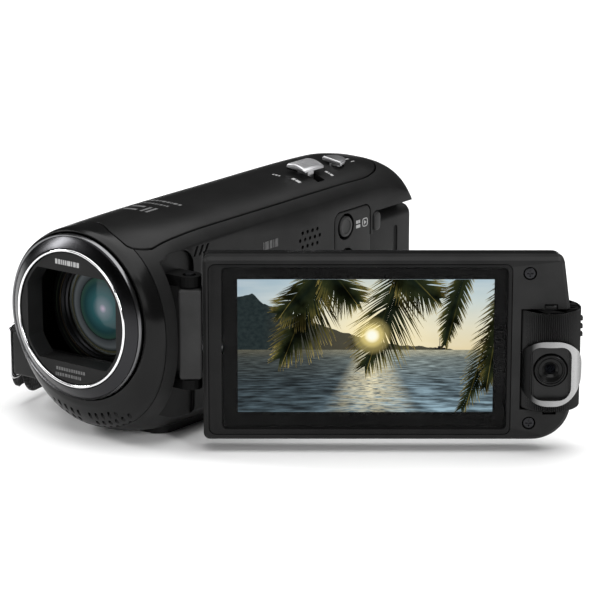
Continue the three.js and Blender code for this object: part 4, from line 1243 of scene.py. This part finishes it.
def drum_clearance():
    """Room in the panel for the small camera, its pivots and its pins."""
    slot = box((DRUM_X, FAR * 2), (-20, 20), (DRUM_LOW_Z - GAP, DRUM_HIGH_Z + GAP))
    hollow = rod("z", (DRUM_LOW_Z - GAP, DRUM_HIGH_Z + GAP), (DRUM_X, 0), DRUM_R + 0.85)
    pivots = rod("z", (DRUM_LOW_Z - 1.6, DRUM_HIGH_Z + 1.6), (DRUM_X, 0), 4.9)
    pins = rod("z", (DRUM_LOW_Z - 5.2, DRUM_HIGH_Z + 5.2), (DRUM_X, 0), 1.8)
    return join(hollow, slot, pivots, pins)


def screw_places():
    """Names and places of the two panel screws."""
    return [(name, middle(name, PANEL)) for name in ("screen_screw_upper", "screen_screw_lower")]


def panel_holes():
    """Holes shared by both halves of the panel."""
    tools = [drum_clearance()]
    tools.append(rod("x", (0, 8.6), (0, 0), 2.5))
    tools.append(rod("x", (8.2, 11), (0, 0), 3.5))
    tools += [rod("y", (-6, 3), (place.x, place.z), 1.75) for _, place in screw_places()]
    return tools


def screen_panel():
    """The front and back halves of the screen panel."""
    low, high = span("screen_front_frame", PANEL)
    front = slab("front", panel_outline(low, high, 1.8), "y", (low.y, high.y), (0.85, 0), 1)
    bezel_low, bezel_high = span("screen_bezel", PANEL)
    left, right = bezel_low.x - 0.15, bezel_high.x + 0.15
    recess = rectangle(left, right, bezel_low.z - 0.15, bezel_high.z + 0.15, 1.9)
    cut(front, slab("cutter", recess, "y", (-10, low.y + 1.5)))
    cut(front, box((12.4, 80), (-10, 5), (-19, 20)), *panel_holes())
    fitted = stands_for(front, "screen_front_frame", FRAME, PANEL)
    fitted.data.materials.append(CAMERA_END)
    for face in fitted.data.polygons:
        if face.center.x > bezel_high.x * MM:
            face.material_index = 1
    back_low, back_high = span("screen_back_cover", PANEL)
    back_outline = panel_outline(back_low, back_high, 3.0)
    back = slab("back", back_outline, "y", (back_low.y, back_high.y), (0, 1.6), 6)
    cut(back, box((12.4, 82), (-5, back_high.y - 1.6), (-21.5, 21.5)), *panel_holes())
    stands_for(back, "screen_back_cover", GLOSS, PANEL)
    screen_face(bezel_low, bezel_high)
    screws()
    hinge_arm()


def screen_face(low, high):
    """The bezel, the glass, the mask behind it and the lit picture."""
    outline = rectangle(low.x, high.x, low.z, high.z, 1.8)
    bezel = slab("bezel", outline, "y", (low.y, high.y), (0.12, 0), 2)
    glass_low, glass_high = span("screen_glass", PANEL)
    glass_outline = rectangle(glass_low.x, glass_high.x, glass_low.z, glass_high.z, 1.2)
    opening = rectangle(glass_low.x - 0.3, glass_high.x + 0.3, glass_low.z - 0.45, glass_high.z + 0.3, 1.4)
    cut(bezel, slab("cutter", opening, "y", (-10, 5)))
    stands_for(bezel, "screen_bezel", BEZEL, PANEL)
    glass = slab("glass", glass_outline, "y", (glass_low.y, glass_high.y), (0.1, 0), 2)
    stands_for(glass, "screen_glass", SCREEN_GLASS, PANEL)
    back = slab("glass_mask", glass_outline, "y", (glass_high.y + 0.02, glass_high.y + 0.3))
    fit(back, "screen", MASK, PANEL)
    picture_box = picture_span()
    picture = slab("lit_picture", rectangle(*picture_box), "y", (glass_high.y - 0.12, glass_high.y - 0.06))
    stands_for(picture, "display_panel", seascape(), PANEL)
    palms(picture_box, glass_high.y - 0.18)


def picture_span():
    """The lit picture: 16 by 9, 66 mm wide, set in the middle of the glass."""
    x0, x1 = 12.4, 78.4
    z0, z1 = -17.2, 18.4
    return x0, x1, z0, z1


def screws():
    """Cross-head screws on the panel."""
    for name, place in screw_places():
        low, high = span(name, PANEL)
        radius = radius_of(name, PANEL)
        head = rod("y", (low.y, high.y), (place.x, place.z), radius, (0.2, 0), name=name)
        cut(head, box((place.x - 0.85, place.x + 0.85), (-6, -4.05), (place.z - 0.17, place.z + 0.17)))
        cut(head, box((place.x - 0.17, place.x + 0.17), (-6, -4.05), (place.z - 0.85, place.z + 0.85)))
        stands_for(head, name, BLACK_STEEL, PANEL)


def hinge_arm():
    """The hinge block and the tilt shaft."""
    low, high = span("hinge_block", PANEL)
    outline = rectangle(low.x, high.x, low.z, high.z, 0.8)
    block = slab("arm", outline, "y", (low.y, high.y), (0.7, 0.7), 5)
    cut(block, rod("z", (-20, 20), (0, 0), 1.85), rod("x", (2.1, 8), (0, 0), 2.5))
    stands_for(block, "hinge_block", ARM, PANEL)
    low, high = span("tilt_shaft", PANEL)
    shaft = rod("x", (low.x, high.x), (0, 0), 2.15, (0.2, 0.2), name="shaft")
    join(shaft, rod("x", (9, high.x), (0, 0), (high.z - low.z) / 2, (0.2, 0.2)))
    stands_for(shaft, "tilt_shaft", STEEL, PANEL)


# ---- the picture on the screen ----------------------------------------------------------
SUN = (0.525, 0.58)


def seascape():
    """A bay at sunset, made of ramps and noise: sky, far hills, water and a path of glitter."""
    material, tree, shader = blank("seascape", Base_Color=0.0, Roughness=0.12, Specular_IOR_Level=0.05)
    parts = node(tree, "SeparateXYZ", {"Vector": node(tree, "TexCoord").outputs["Generated"]})
    u, v = parts.outputs["X"], parts.outputs["Z"]
    horizon = 0.472
    air = sky(tree, u, v, SUN)
    land = hills(tree, u, v, air)
    sea = water(tree, u, v, SUN, horizon)
    below = calc(tree, "LESS_THAN", v, horizon)
    colour = blend_colours(tree, below, land, sea)
    return glows(material, tree, shader, colour)


def calc(tree, operation, a, b=None, c=None):
    """One math node; its inputs are numbers or sockets."""
    made = node(tree, "Math", operation=operation)
    for socket, value in zip(made.inputs, (a, b, c)):
        if isinstance(value, (int, float)):
            socket.default_value = value
        elif value is not None:
            tree.links.new(value, socket)
    return made.outputs[0]


def glows(material, tree, shader, colour, strength=1.0):
    """Light of its own, which isn't sampled as a lamp."""
    tree.links.new(colour, shader.inputs["Emission Color"])
    shader.inputs["Emission Strength"].default_value = strength
    material.cycles.emission_sampling = "NONE"
    return material


def blend_colours(tree, amount, a, b, kind="MIX"):
    """Two colours mixed by an amount."""
    made = node(tree, "Mix", data_type="RGBA", blend_type=kind, clamp_factor=True)
    for name, value in (("Factor", amount), ("A", a), ("B", b)):
        socket = [s for s in made.inputs if s.name == name and s.enabled][0]
        if isinstance(value, (int, float)):
            socket.default_value = value
        elif isinstance(value, tuple):
            socket.default_value = (*value, 1)
        else:
            tree.links.new(value, socket)
    return [s for s in made.outputs if s.enabled][0]


def flat_noise(tree, u, v, stretch, detail=3.0, seed=0.0):
    """Noise over the picture, stretched across it or down it."""
    wide = calc(tree, "MULTIPLY", u, stretch[0])
    tall = calc(tree, "MULTIPLY", v, stretch[1])
    where = node(tree, "CombineXYZ", {"X": wide, "Y": tall}, Z=seed)
    return node(tree, "TexNoise", {"Vector": where.outputs[0]}, Scale=1.0, Detail=detail).outputs["Fac"]


def distance_to(tree, u, v, centre, stretch=1.78):
    """Distance from a point of the picture."""
    across = calc(tree, "MULTIPLY", calc(tree, "SUBTRACT", u, centre[0]), stretch)
    up = calc(tree, "SUBTRACT", v, centre[1])
    return calc(tree, "SQRT", calc(tree, "ADD", calc(tree, "POWER", calc(tree, "ABSOLUTE", across), 2.0),
                                   calc(tree, "POWER", calc(tree, "ABSOLUTE", up), 2.0)))


def sky(tree, u, v, sun):
    """A pale sky with thin cloud and a glow round the sun."""
    base = ramp(tree, v, [(0.47, (0.8, 0.68, 0.42)), (0.64, (0.78, 0.74, 0.56)),
                          (0.84, (0.6, 0.68, 0.66)), (1.0, (0.42, 0.55, 0.62))])
    cool = ramp(tree, u, [(0.0, 0.75), (0.3, 0.0)])
    base = blend_colours(tree, cool, base, (0.33, 0.44, 0.52))
    clouds = ramp(tree, flat_noise(tree, u, v, (3.0, 9.0), 5, 3.0), [(0.45, 0.0), (0.75, 1.0)])
    base = blend_colours(tree, calc(tree, "MULTIPLY", clouds, 0.3), base, (0.9, 0.88, 0.8))
    halo = [(0.0, 1.0), (0.1, 0.85), (0.25, 0.4), (0.6, 0.0)]
    glow = ramp(tree, distance_to(tree, u, v, sun), halo, "EASE")
    warm = blend_colours(tree, glow, base, (1.0, 0.87, 0.52))
    core = ramp(tree, distance_to(tree, u, v, sun), [(0.03, 1.0), (0.075, 0.0)])
    return blend_colours(tree, core, warm, (1.0, 0.98, 0.86))


def hills(tree, u, v, air):
    """A high dark headland at the left, falling to a long low point at the right."""
    line = ramp(tree, u, [(0.0, 0.87), (0.06, 0.89), (0.1, 0.82), (0.32, 0.66), (0.42, 0.6),
                          (0.52, 0.545), (0.63, 0.508), (0.83, 0.482), (0.86, 0.46)])
    rough = calc(tree, "MULTIPLY", calc(tree, "SUBTRACT", flat_noise(tree, u, v, (26, 0), 5), 0.5), 0.04)
    mask = calc(tree, "LESS_THAN", v, calc(tree, "ADD", line, rough))
    trees = flat_noise(tree, u, v, (60, 40), 4, 1.0)
    colour = ramp(tree, trees, [(0.3, (0.007, 0.014, 0.016)), (0.75, (0.022, 0.034, 0.034))])
    haze = ramp(tree, u, [(0.1, 0.0), (0.5, 0.75), (0.75, 0.5), (1.0, 0.4)])
    colour = blend_colours(tree, haze, colour, (0.1, 0.085, 0.05))
    return blend_colours(tree, mask, air, colour)


def water(tree, u, v, sun, horizon):
    """Water with ripples and a path of glitter under the sun."""
    depth = calc(tree, "SUBTRACT", horizon, v)
    fan = calc(tree, "DIVIDE", calc(tree, "SUBTRACT", u, 0.5), calc(tree, "ADD", depth, 0.16))
    rows = calc(tree, "DIVIDE", 1.0, calc(tree, "ADD", depth, 0.07))
    waves = flat_noise(tree, fan, rows, (5.0, 9.0), 6, 2.0)
    fine = flat_noise(tree, fan, rows, (16.0, 26.0), 5, 5.0)
    base = ramp(tree, depth, [(0.0, (0.34, 0.33, 0.24)), (0.06, (0.16, 0.19, 0.18)),
                              (0.25, (0.1, 0.14, 0.16)), (0.47, (0.15, 0.22, 0.26))])
    shore = ramp(tree, u, [(0.0, 0.3), (0.28, 0.34), (0.46, 0.8), (0.6, 1.3), (1.0, 1.0)])
    base = blend_colours(tree, 1.0, base, shore, "MULTIPLY")
    ripple = ramp(tree, waves, [(0.36, 0.25), (0.5, 0.85), (0.64, 1.9)])
    base = blend_colours(tree, 1.0, base, ripple, "MULTIPLY")
    away = calc(tree, "ABSOLUTE", calc(tree, "SUBTRACT", u, sun[0]))
    width = calc(tree, "ADD", calc(tree, "MULTIPLY", depth, 0.3), 0.07)
    path = ramp(tree, calc(tree, "DIVIDE", away, width), [(0.0, 1.0), (0.4, 0.6), (1.0, 0.0)], "EASE")
    sparks = ramp(tree, fine, [(0.4, 0.12), (0.56, 1.0)])
    fade = ramp(tree, depth, [(0.0, 1.0), (0.3, 0.85), (0.47, 0.35)])
    glitter = calc(tree, "MULTIPLY", calc(tree, "MULTIPLY", path, sparks), fade)
    return blend_colours(tree, glitter, base, (1.0, 0.9, 0.6))


# Fronds over the picture: rib start and end as shares of it, its bow, and blade length in mm.
FRONDS = [
    ((0.34, 1.12), (0.17, 0.42), 0.05, 11.0),
    ((0.32, 1.1), (0.16, 0.75), 0.06, 9.0),
    ((0.34, 1.12), (0.47, 0.84), -0.03, 8.5),
    ((0.64, 1.12), (0.5, 0.36), 0.04, 12.0),
    ((0.62, 1.12), (0.78, 0.86), -0.03, 9.0),
    ((0.9, 1.1), (0.81, 0.52), -0.02, 5.5),
    ((1.06, 1.08), (0.88, 0.04), 0.06, 8.0),
    ((1.04, 0.95), (0.97, 0.2), 0.03, 7.0),
]


def palms(bounds, depth):
    """Palm fronds cut off at the edges of the picture, the boat and the sun."""
    x0, x1, z0, z1 = bounds
    mesh = bmesh.new()
    tone = mesh.verts.layers.float.new("tone")
    chance = random.Random(7)
    size = Vector((x1 - x0, z1 - z0))
    for layer, (start, end, bow, blade) in enumerate(FRONDS):
        start = Vector((x0, z0)) + Vector((start[0] * size.x, start[1] * size.y))
        end = Vector((x0, z0)) + Vector((end[0] * size.x, end[1] * size.y))
        frond(mesh, tone, chance, start, end, bow * size.x, blade, depth - 0.004 * layer)
    sides = [((x0, 0, 0), (-1, 0, 0)), ((x1, 0, 0), (1, 0, 0))]
    ends = [((0, 0, z0), (0, 0, -1)), ((0, 0, z1), (0, 0, 1))]
    for point, normal in sides + ends:
        parts = list(mesh.verts) + list(mesh.edges) + list(mesh.faces)
        edge = Vector(point) * MM
        bmesh.ops.bisect_plane(mesh, geom=parts, plane_co=edge, plane_no=normal, clear_outer=True)
    piece = as_object("picture_palms", mesh)
    fit(piece, "screen", palm_leaf(), PANEL, angle=80)
    boat(bounds, depth)
    sun_glare(bounds, depth - 0.06)


def sun_glare(bounds, depth):
    """The low sun burning through the leaves: bright at its middle, clear at its rim."""
    x0, x1, z0, z1 = bounds
    x, z, radius = x0 + SUN[0] * (x1 - x0), z0 + SUN[1] * (z1 - z0), 5.5
    disc = slab("picture_sun", circle(x, z, radius), "y", (depth - 0.01, depth))
    material = bpy.data.materials.new("sun_glare")
    material.use_nodes = True
    tree = material.node_tree
    tree.nodes.clear()
    parts = node(tree, "SeparateXYZ", {"Vector": node(tree, "TexCoord").outputs["Generated"]})
    away = distance_to(tree, parts.outputs["X"], parts.outputs["Z"], (0.5, 0.5), 1.0)
    share = ramp(tree, away, [(0.0, 1.0), (0.11, 0.95), (0.2, 0.4), (0.34, 0.12), (0.5, 0.0)], "EASE")
    tint = ramp(tree, away, [(0.08, (1.0, 1.0, 0.85)), (0.2, (1.0, 0.82, 0.3))])
    light = node(tree, "Emission", {"Color": tint})
    links = {0: share, 1: node(tree, "BsdfTransparent").outputs[0], 2: light.outputs[0]}
    node(tree, "OutputMaterial", {"Surface": node(tree, "MixShader", links).outputs[0]})
    material.cycles.emission_sampling = "NONE"
    fit(disc, "screen", material, PANEL)


def frond(mesh, tone, chance, start, end, bow, blade, depth):
    """One frond: narrow blades on both sides of a bowed rib, longest in its middle."""
    along = end - start
    side = Vector((-along.y, along.x)).normalized()
    knee = (start + end) / 2 + side * bow
    count = 60
    for i in range(count):
        t = (i + 1) / count
        root = start * (1 - t) ** 2 + knee * 2 * t * (1 - t) + end * t**2
        rib = ((knee - start) * (1 - t) + (end - knee) * t).normalized()
        out = Vector((-rib.y, rib.x))
        fullness = 0.35 + 0.65 * math.sin(math.pi * min(1, 0.12 + 0.95 * t))
        length = blade * fullness * chance.uniform(0.85, 1.1)
        for hand in (-1, 1):
            lean = math.radians(chance.uniform(26, 38) + 22 * (1 - t))
            way = rib * math.cos(lean) + out * hand * math.sin(lean)
            blade_of(mesh, tone, root, way, length, 0.5, depth)
    blade_of(mesh, tone, start, (end - start).normalized(), (end - start).length, 0.55, depth - 0.002)


def blade_of(mesh, tone, root, way, length, width, depth):
    """One narrow blade, drooping towards its tip."""
    side = Vector((-way.y, way.x)) * width / 2
    steps = 4
    previous = None
    for k in range(steps + 1):
        t = k / steps
        centre = root + way * length * t + Vector((0, -0.1 * length * t * t))
        half = side * (1 - 0.92 * t**1.5)
        rims = [centre - half, centre + half]
        pair = [mesh.verts.new(Vector((rim.x, depth, rim.y)) * MM) for rim in rims]
        for vert in pair:
            vert[tone] = t
        if previous:
            mesh.faces.new((previous[0], pair[0], pair[1], previous[1]))
        previous = pair


def palm_leaf():
    """Dark leaves, golden towards their tips."""
    material, tree, shader = blank("palm_leaf", Base_Color=0.0, Roughness=0.6, Specular_IOR_Level=0.0)
    tone = node(tree, "Attribute", attribute_name="tone").outputs["Fac"]
    lit = ramp(tree, tone, [(0.0, (0.005, 0.008, 0.005)), (0.5, (0.018, 0.022, 0.008)),
                            (0.85, (0.1, 0.085, 0.022)), (1.0, (0.42, 0.32, 0.1))])
    patches = ramp(tree, noise(tree, 190, 3), [(0.36, 0.25), (0.62, 1.5)])
    colour = blend_colours(tree, 1.0, lit, patches, "MULTIPLY")
    return glows(material, tree, shader, colour)


def boat(bounds, depth):
    """A small moored boat on the far water."""
    x0, x1, z0, z1 = bounds
    x = x0 + 0.79 * (x1 - x0)
    z = z0 + 0.475 * (z1 - z0)
    hull = slab("boat_hull", [(x - 1.5, z + 0.45), (x - 1.0, z), (x + 1.1, z), (x + 1.7, z + 0.5)], "y",
                (depth - 0.02, depth))
    mast = slab("boat_mast", rectangle(x - 0.08, x + 0.08, z + 0.4, z + 3.2), "y", (depth - 0.02, depth))
    cabin = slab("boat_cabin", rectangle(x - 0.5, x + 0.6, z + 0.4, z + 0.9), "y", (depth - 0.02, depth))
    dark, tree, shader = blank("boat_dark", Base_Color=0.0, Roughness=0.6, Specular_IOR_Level=0.0)
    shade = ramp(tree, noise(tree, 700, 2), [(0.3, 0.006), (0.7, 0.02)])
    glows(dark, tree, shader, shade)
    fit(gather("picture_boat", [hull, mast, cabin]), "screen", dark, PANEL)


# ---- turning camera ---------------------------------------------------------------------
def twin_camera():
    """The small turning camera: drum, collar, lens and glass."""
    lens = middle("twin_camera_barrel", PANEL)
    face = Vector((DRUM_X, 0, middle("twin_camera_ring", PANEL).z))
    stands_for(ribbed_drum(lens, face), "twin_camera_drum", RIBBED, PANEL, angle=28)
    stands_for(collar(face), "twin_camera_ring", COLLAR, PANEL, angle=40)
    low, high = span("twin_camera_barrel", PANEL)
    outer = radius_of("twin_camera_barrel", PANEL)
    rings = [(outer, high.y), (outer, low.y + 0.25), (outer - 0.2, low.y), (outer - 0.55, low.y)]
    rings += [(outer - 0.65, low.y + 0.35), (outer - 0.95, low.y + 0.35), (outer - 1.05, low.y + 0.1)]
    rings += [(3.1, low.y + 0.12), (3.0, low.y + 0.5), (2.2, low.y + 0.75), (2.05, low.y + 0.6)]
    rings += [(1.3, low.y + 1.2), (1.2, low.y + 2.4), (2.9, low.y + 2.6), (2.9, high.y)]
    stands_for(turned("lens", rings, (lens.x, lens.z), 96), "twin_camera_barrel", GLOSS, PANEL)
    low, high = span("twin_camera_glass", PANEL)
    dome = cap_profile(radius_of("twin_camera_glass", PANEL), low.y + 0.5, 0.5, high.y)
    glass = turned("glass", dome, (lens.x, lens.z), 96)
    stands_for(glass, "twin_camera_glass", TWIN_GLASS, PANEL, angle=60)


def ribbed_drum(lens, face):
    """The drum: fine ribs down its sides, a sunk face round the lens and pivot discs at its ends."""
    ribs = 92
    outline = []
    for i in range(ribs * 6):
        turn = 2 * math.pi * i / (ribs * 6)
        radius = DRUM_R - 0.16 + 0.16 * math.cos(ribs * turn)
        outline.append((DRUM_X + radius * math.cos(turn), radius * math.sin(turn)))
    low, high = DRUM_LOW_Z, DRUM_HIGH_Z
    drum = slab("drum", outline, "z", (low, high), (0.35, 0.35), 3)
    window = rectangle(face.x - 5.4, face.x + 5.4, face.z - 7.1, face.z + 7.1, 3.0)
    join(drum, rod("z", (low - 1.2, high + 1.2), (DRUM_X, 0), 4.5, (0.2, 0.2)), *finger_nubs())
    cut(
        drum,
        slab("cutter", window, "y", (-12, -DRUM_R + 1.5)),
        rod("y", (-12, -1), (lens.x, lens.z), 4.5),
        rod("z", (high - 2.6, 20), (DRUM_X, 0), 1.75),
        rod("z", (-30, low + 2.6), (DRUM_X, 0), 1.75),
    )
    return drum


def finger_nubs():
    """Three small nubs to turn the drum by."""
    edge = DRUM_X + DRUM_R
    outline = rectangle(edge - 1, edge + 0.5, -1.2, 1.2, 0.45, 5)
    return [slab("nub", outline, "z", (z - 0.5, z + 0.5), (0.2, 0.2)) for z in (7.2, 5.1, 3.0)]


def collar(face):
    """The bright collar: a band of the drum's own curve, outlined by a rounded shape with a window."""
    band = rod("z", (DRUM_LOW_Z, DRUM_HIGH_Z), (DRUM_X, 0), DRUM_R + 0.65, steps=160, name="collar")
    cut(band, rod("z", (-30, 30), (DRUM_X, 0), DRUM_R + 0.14, steps=160))
    outside = rectangle(face.x - 8.3, face.x + 8.3, face.z - 8.65, face.z + 8.65, 7.4, 20)
    keep(band, slab("cutter", outside, "y", (-12, -1.4)))
    window = rectangle(face.x - 5.35, face.x + 5.35, face.z - 7.1, face.z + 7.1, 3.0, 10)
    return cut(band, slab("cutter", window, "y", (-12, 0)))


# ---- CAD nodes that stay ----------------------------------------------------------------
def finish_cad_nodes():
    """The pieces whose CAD shape is right keep it, and get a material here."""
    finishes = {
        BLACK_STEEL: ["hinge_pin"],
        STEEL: ["microphone_left", "microphone_right", "card_slot",
                "twin_camera_pin_upper", "twin_camera_pin_lower"],
        # the hinge bracket in black darkened as painted pocket shade
        POCKET_SHADE_BLACK: ["hinge_bracket"],
        MATTE: ["rear_frame", "terminal_block", "speaker", "battery_contacts", "rear_lens_barrel"],
        BOARD: ["main_board", "image_sensor"],
    }
    for material, names in finishes.items():
        for name in names:
            piece = frame["nodes"][name]
            piece.data.materials.clear()
            piece.data.materials.append(material)


# ---- stage ------------------------------------------------------------------------------
CAMERA_AZIMUTH = math.radians(37.66)
CAMERA_HEIGHT = math.radians(15.2)
CAMERA_DISTANCE = 0.813
CAMERA_TARGET = Vector((0.0235, 0.0, 0.031))
CAMERA_LENS = 183.4


def camera():
    """A camera at the photograph's viewing angle."""
    back = Vector((
        math.sin(CAMERA_AZIMUTH) * math.cos(CAMERA_HEIGHT),
        -math.cos(CAMERA_AZIMUTH) * math.cos(CAMERA_HEIGHT),
        math.sin(CAMERA_HEIGHT),
    ))
    data = bpy.data.cameras.new("camera")
    data.lens = CAMERA_LENS
    data.sensor_width = 36
    made = bpy.data.objects.new("camera", data)
    made.location = CAMERA_TARGET + back * CAMERA_DISTANCE
    made.rotation_euler = (-back).to_track_quat("-Z", "Y").to_euler()
    bpy.context.scene.collection.objects.link(made)
    bpy.context.scene.camera = made


def floor():
    """A plain pale floor just under the object."""
    mesh = bmesh.new()
    bmesh.ops.create_grid(mesh, x_segments=1, y_segments=1, size=6)
    made = as_object("floor", mesh)
    made.location.z = cad_box[0][2] - 0.0002
    material, tree, shader = blank("pale_floor", Roughness=0.9, Specular_IOR_Level=0.0)
    tint = ramp(tree, noise(tree, 3, 2), [(0.3, 0.86), (0.7, 0.9)])
    tree.links.new(tint, shader.inputs["Base Color"])
    made.data.materials.append(material)


def softbox(name, place, size, power, target=(0.01, -0.01, 0.035)):
    """A rectangular area light aimed at the object."""
    data = bpy.data.lights.new(name, "AREA")
    data.shape = "RECTANGLE"
    data.size, data.size_y = size
    data.energy = power
    made = bpy.data.objects.new(name, data)
    made.location = Vector(place)
    way = Vector(target) - Vector(place)
    made.rotation_euler = way.to_track_quat("-Z", "Y").to_euler()
    bpy.context.scene.collection.objects.link(made)


def lights():
    """A dim white surround and four soft lights."""
    world = bpy.data.worlds.new("studio")
    bpy.context.scene.world = world
    world.use_nodes = True
    world.node_tree.nodes["Background"].inputs["Color"].default_value = (1, 1, 1, 1)
    world.node_tree.nodes["Background"].inputs["Strength"].default_value = 0.04
    softbox("overhead", (0.1, 0.1, 1.6), (2.4, 2.4), 52)
    softbox("left", (-1.3, -0.65, 0.85), (0.35, 0.5), 14)
    softbox("front", (-0.15, -1.5, 0.45), (0.5, 0.3), 4)
    softbox("right", (1.5, -0.5, 0.75), (0.25, 0.7), 12)
    bpy.context.scene.view_settings.view_transform = "Standard"


camera()
floor()
lights()
casing()
lens_front()
lens_inside()
barrier()
zoom_lever()
photo_button()
record_button()
side_controls()
side_marks()
top_marks()
battery()
base()
grip()
screen_panel()
twin_camera()
finish_cad_nodes()
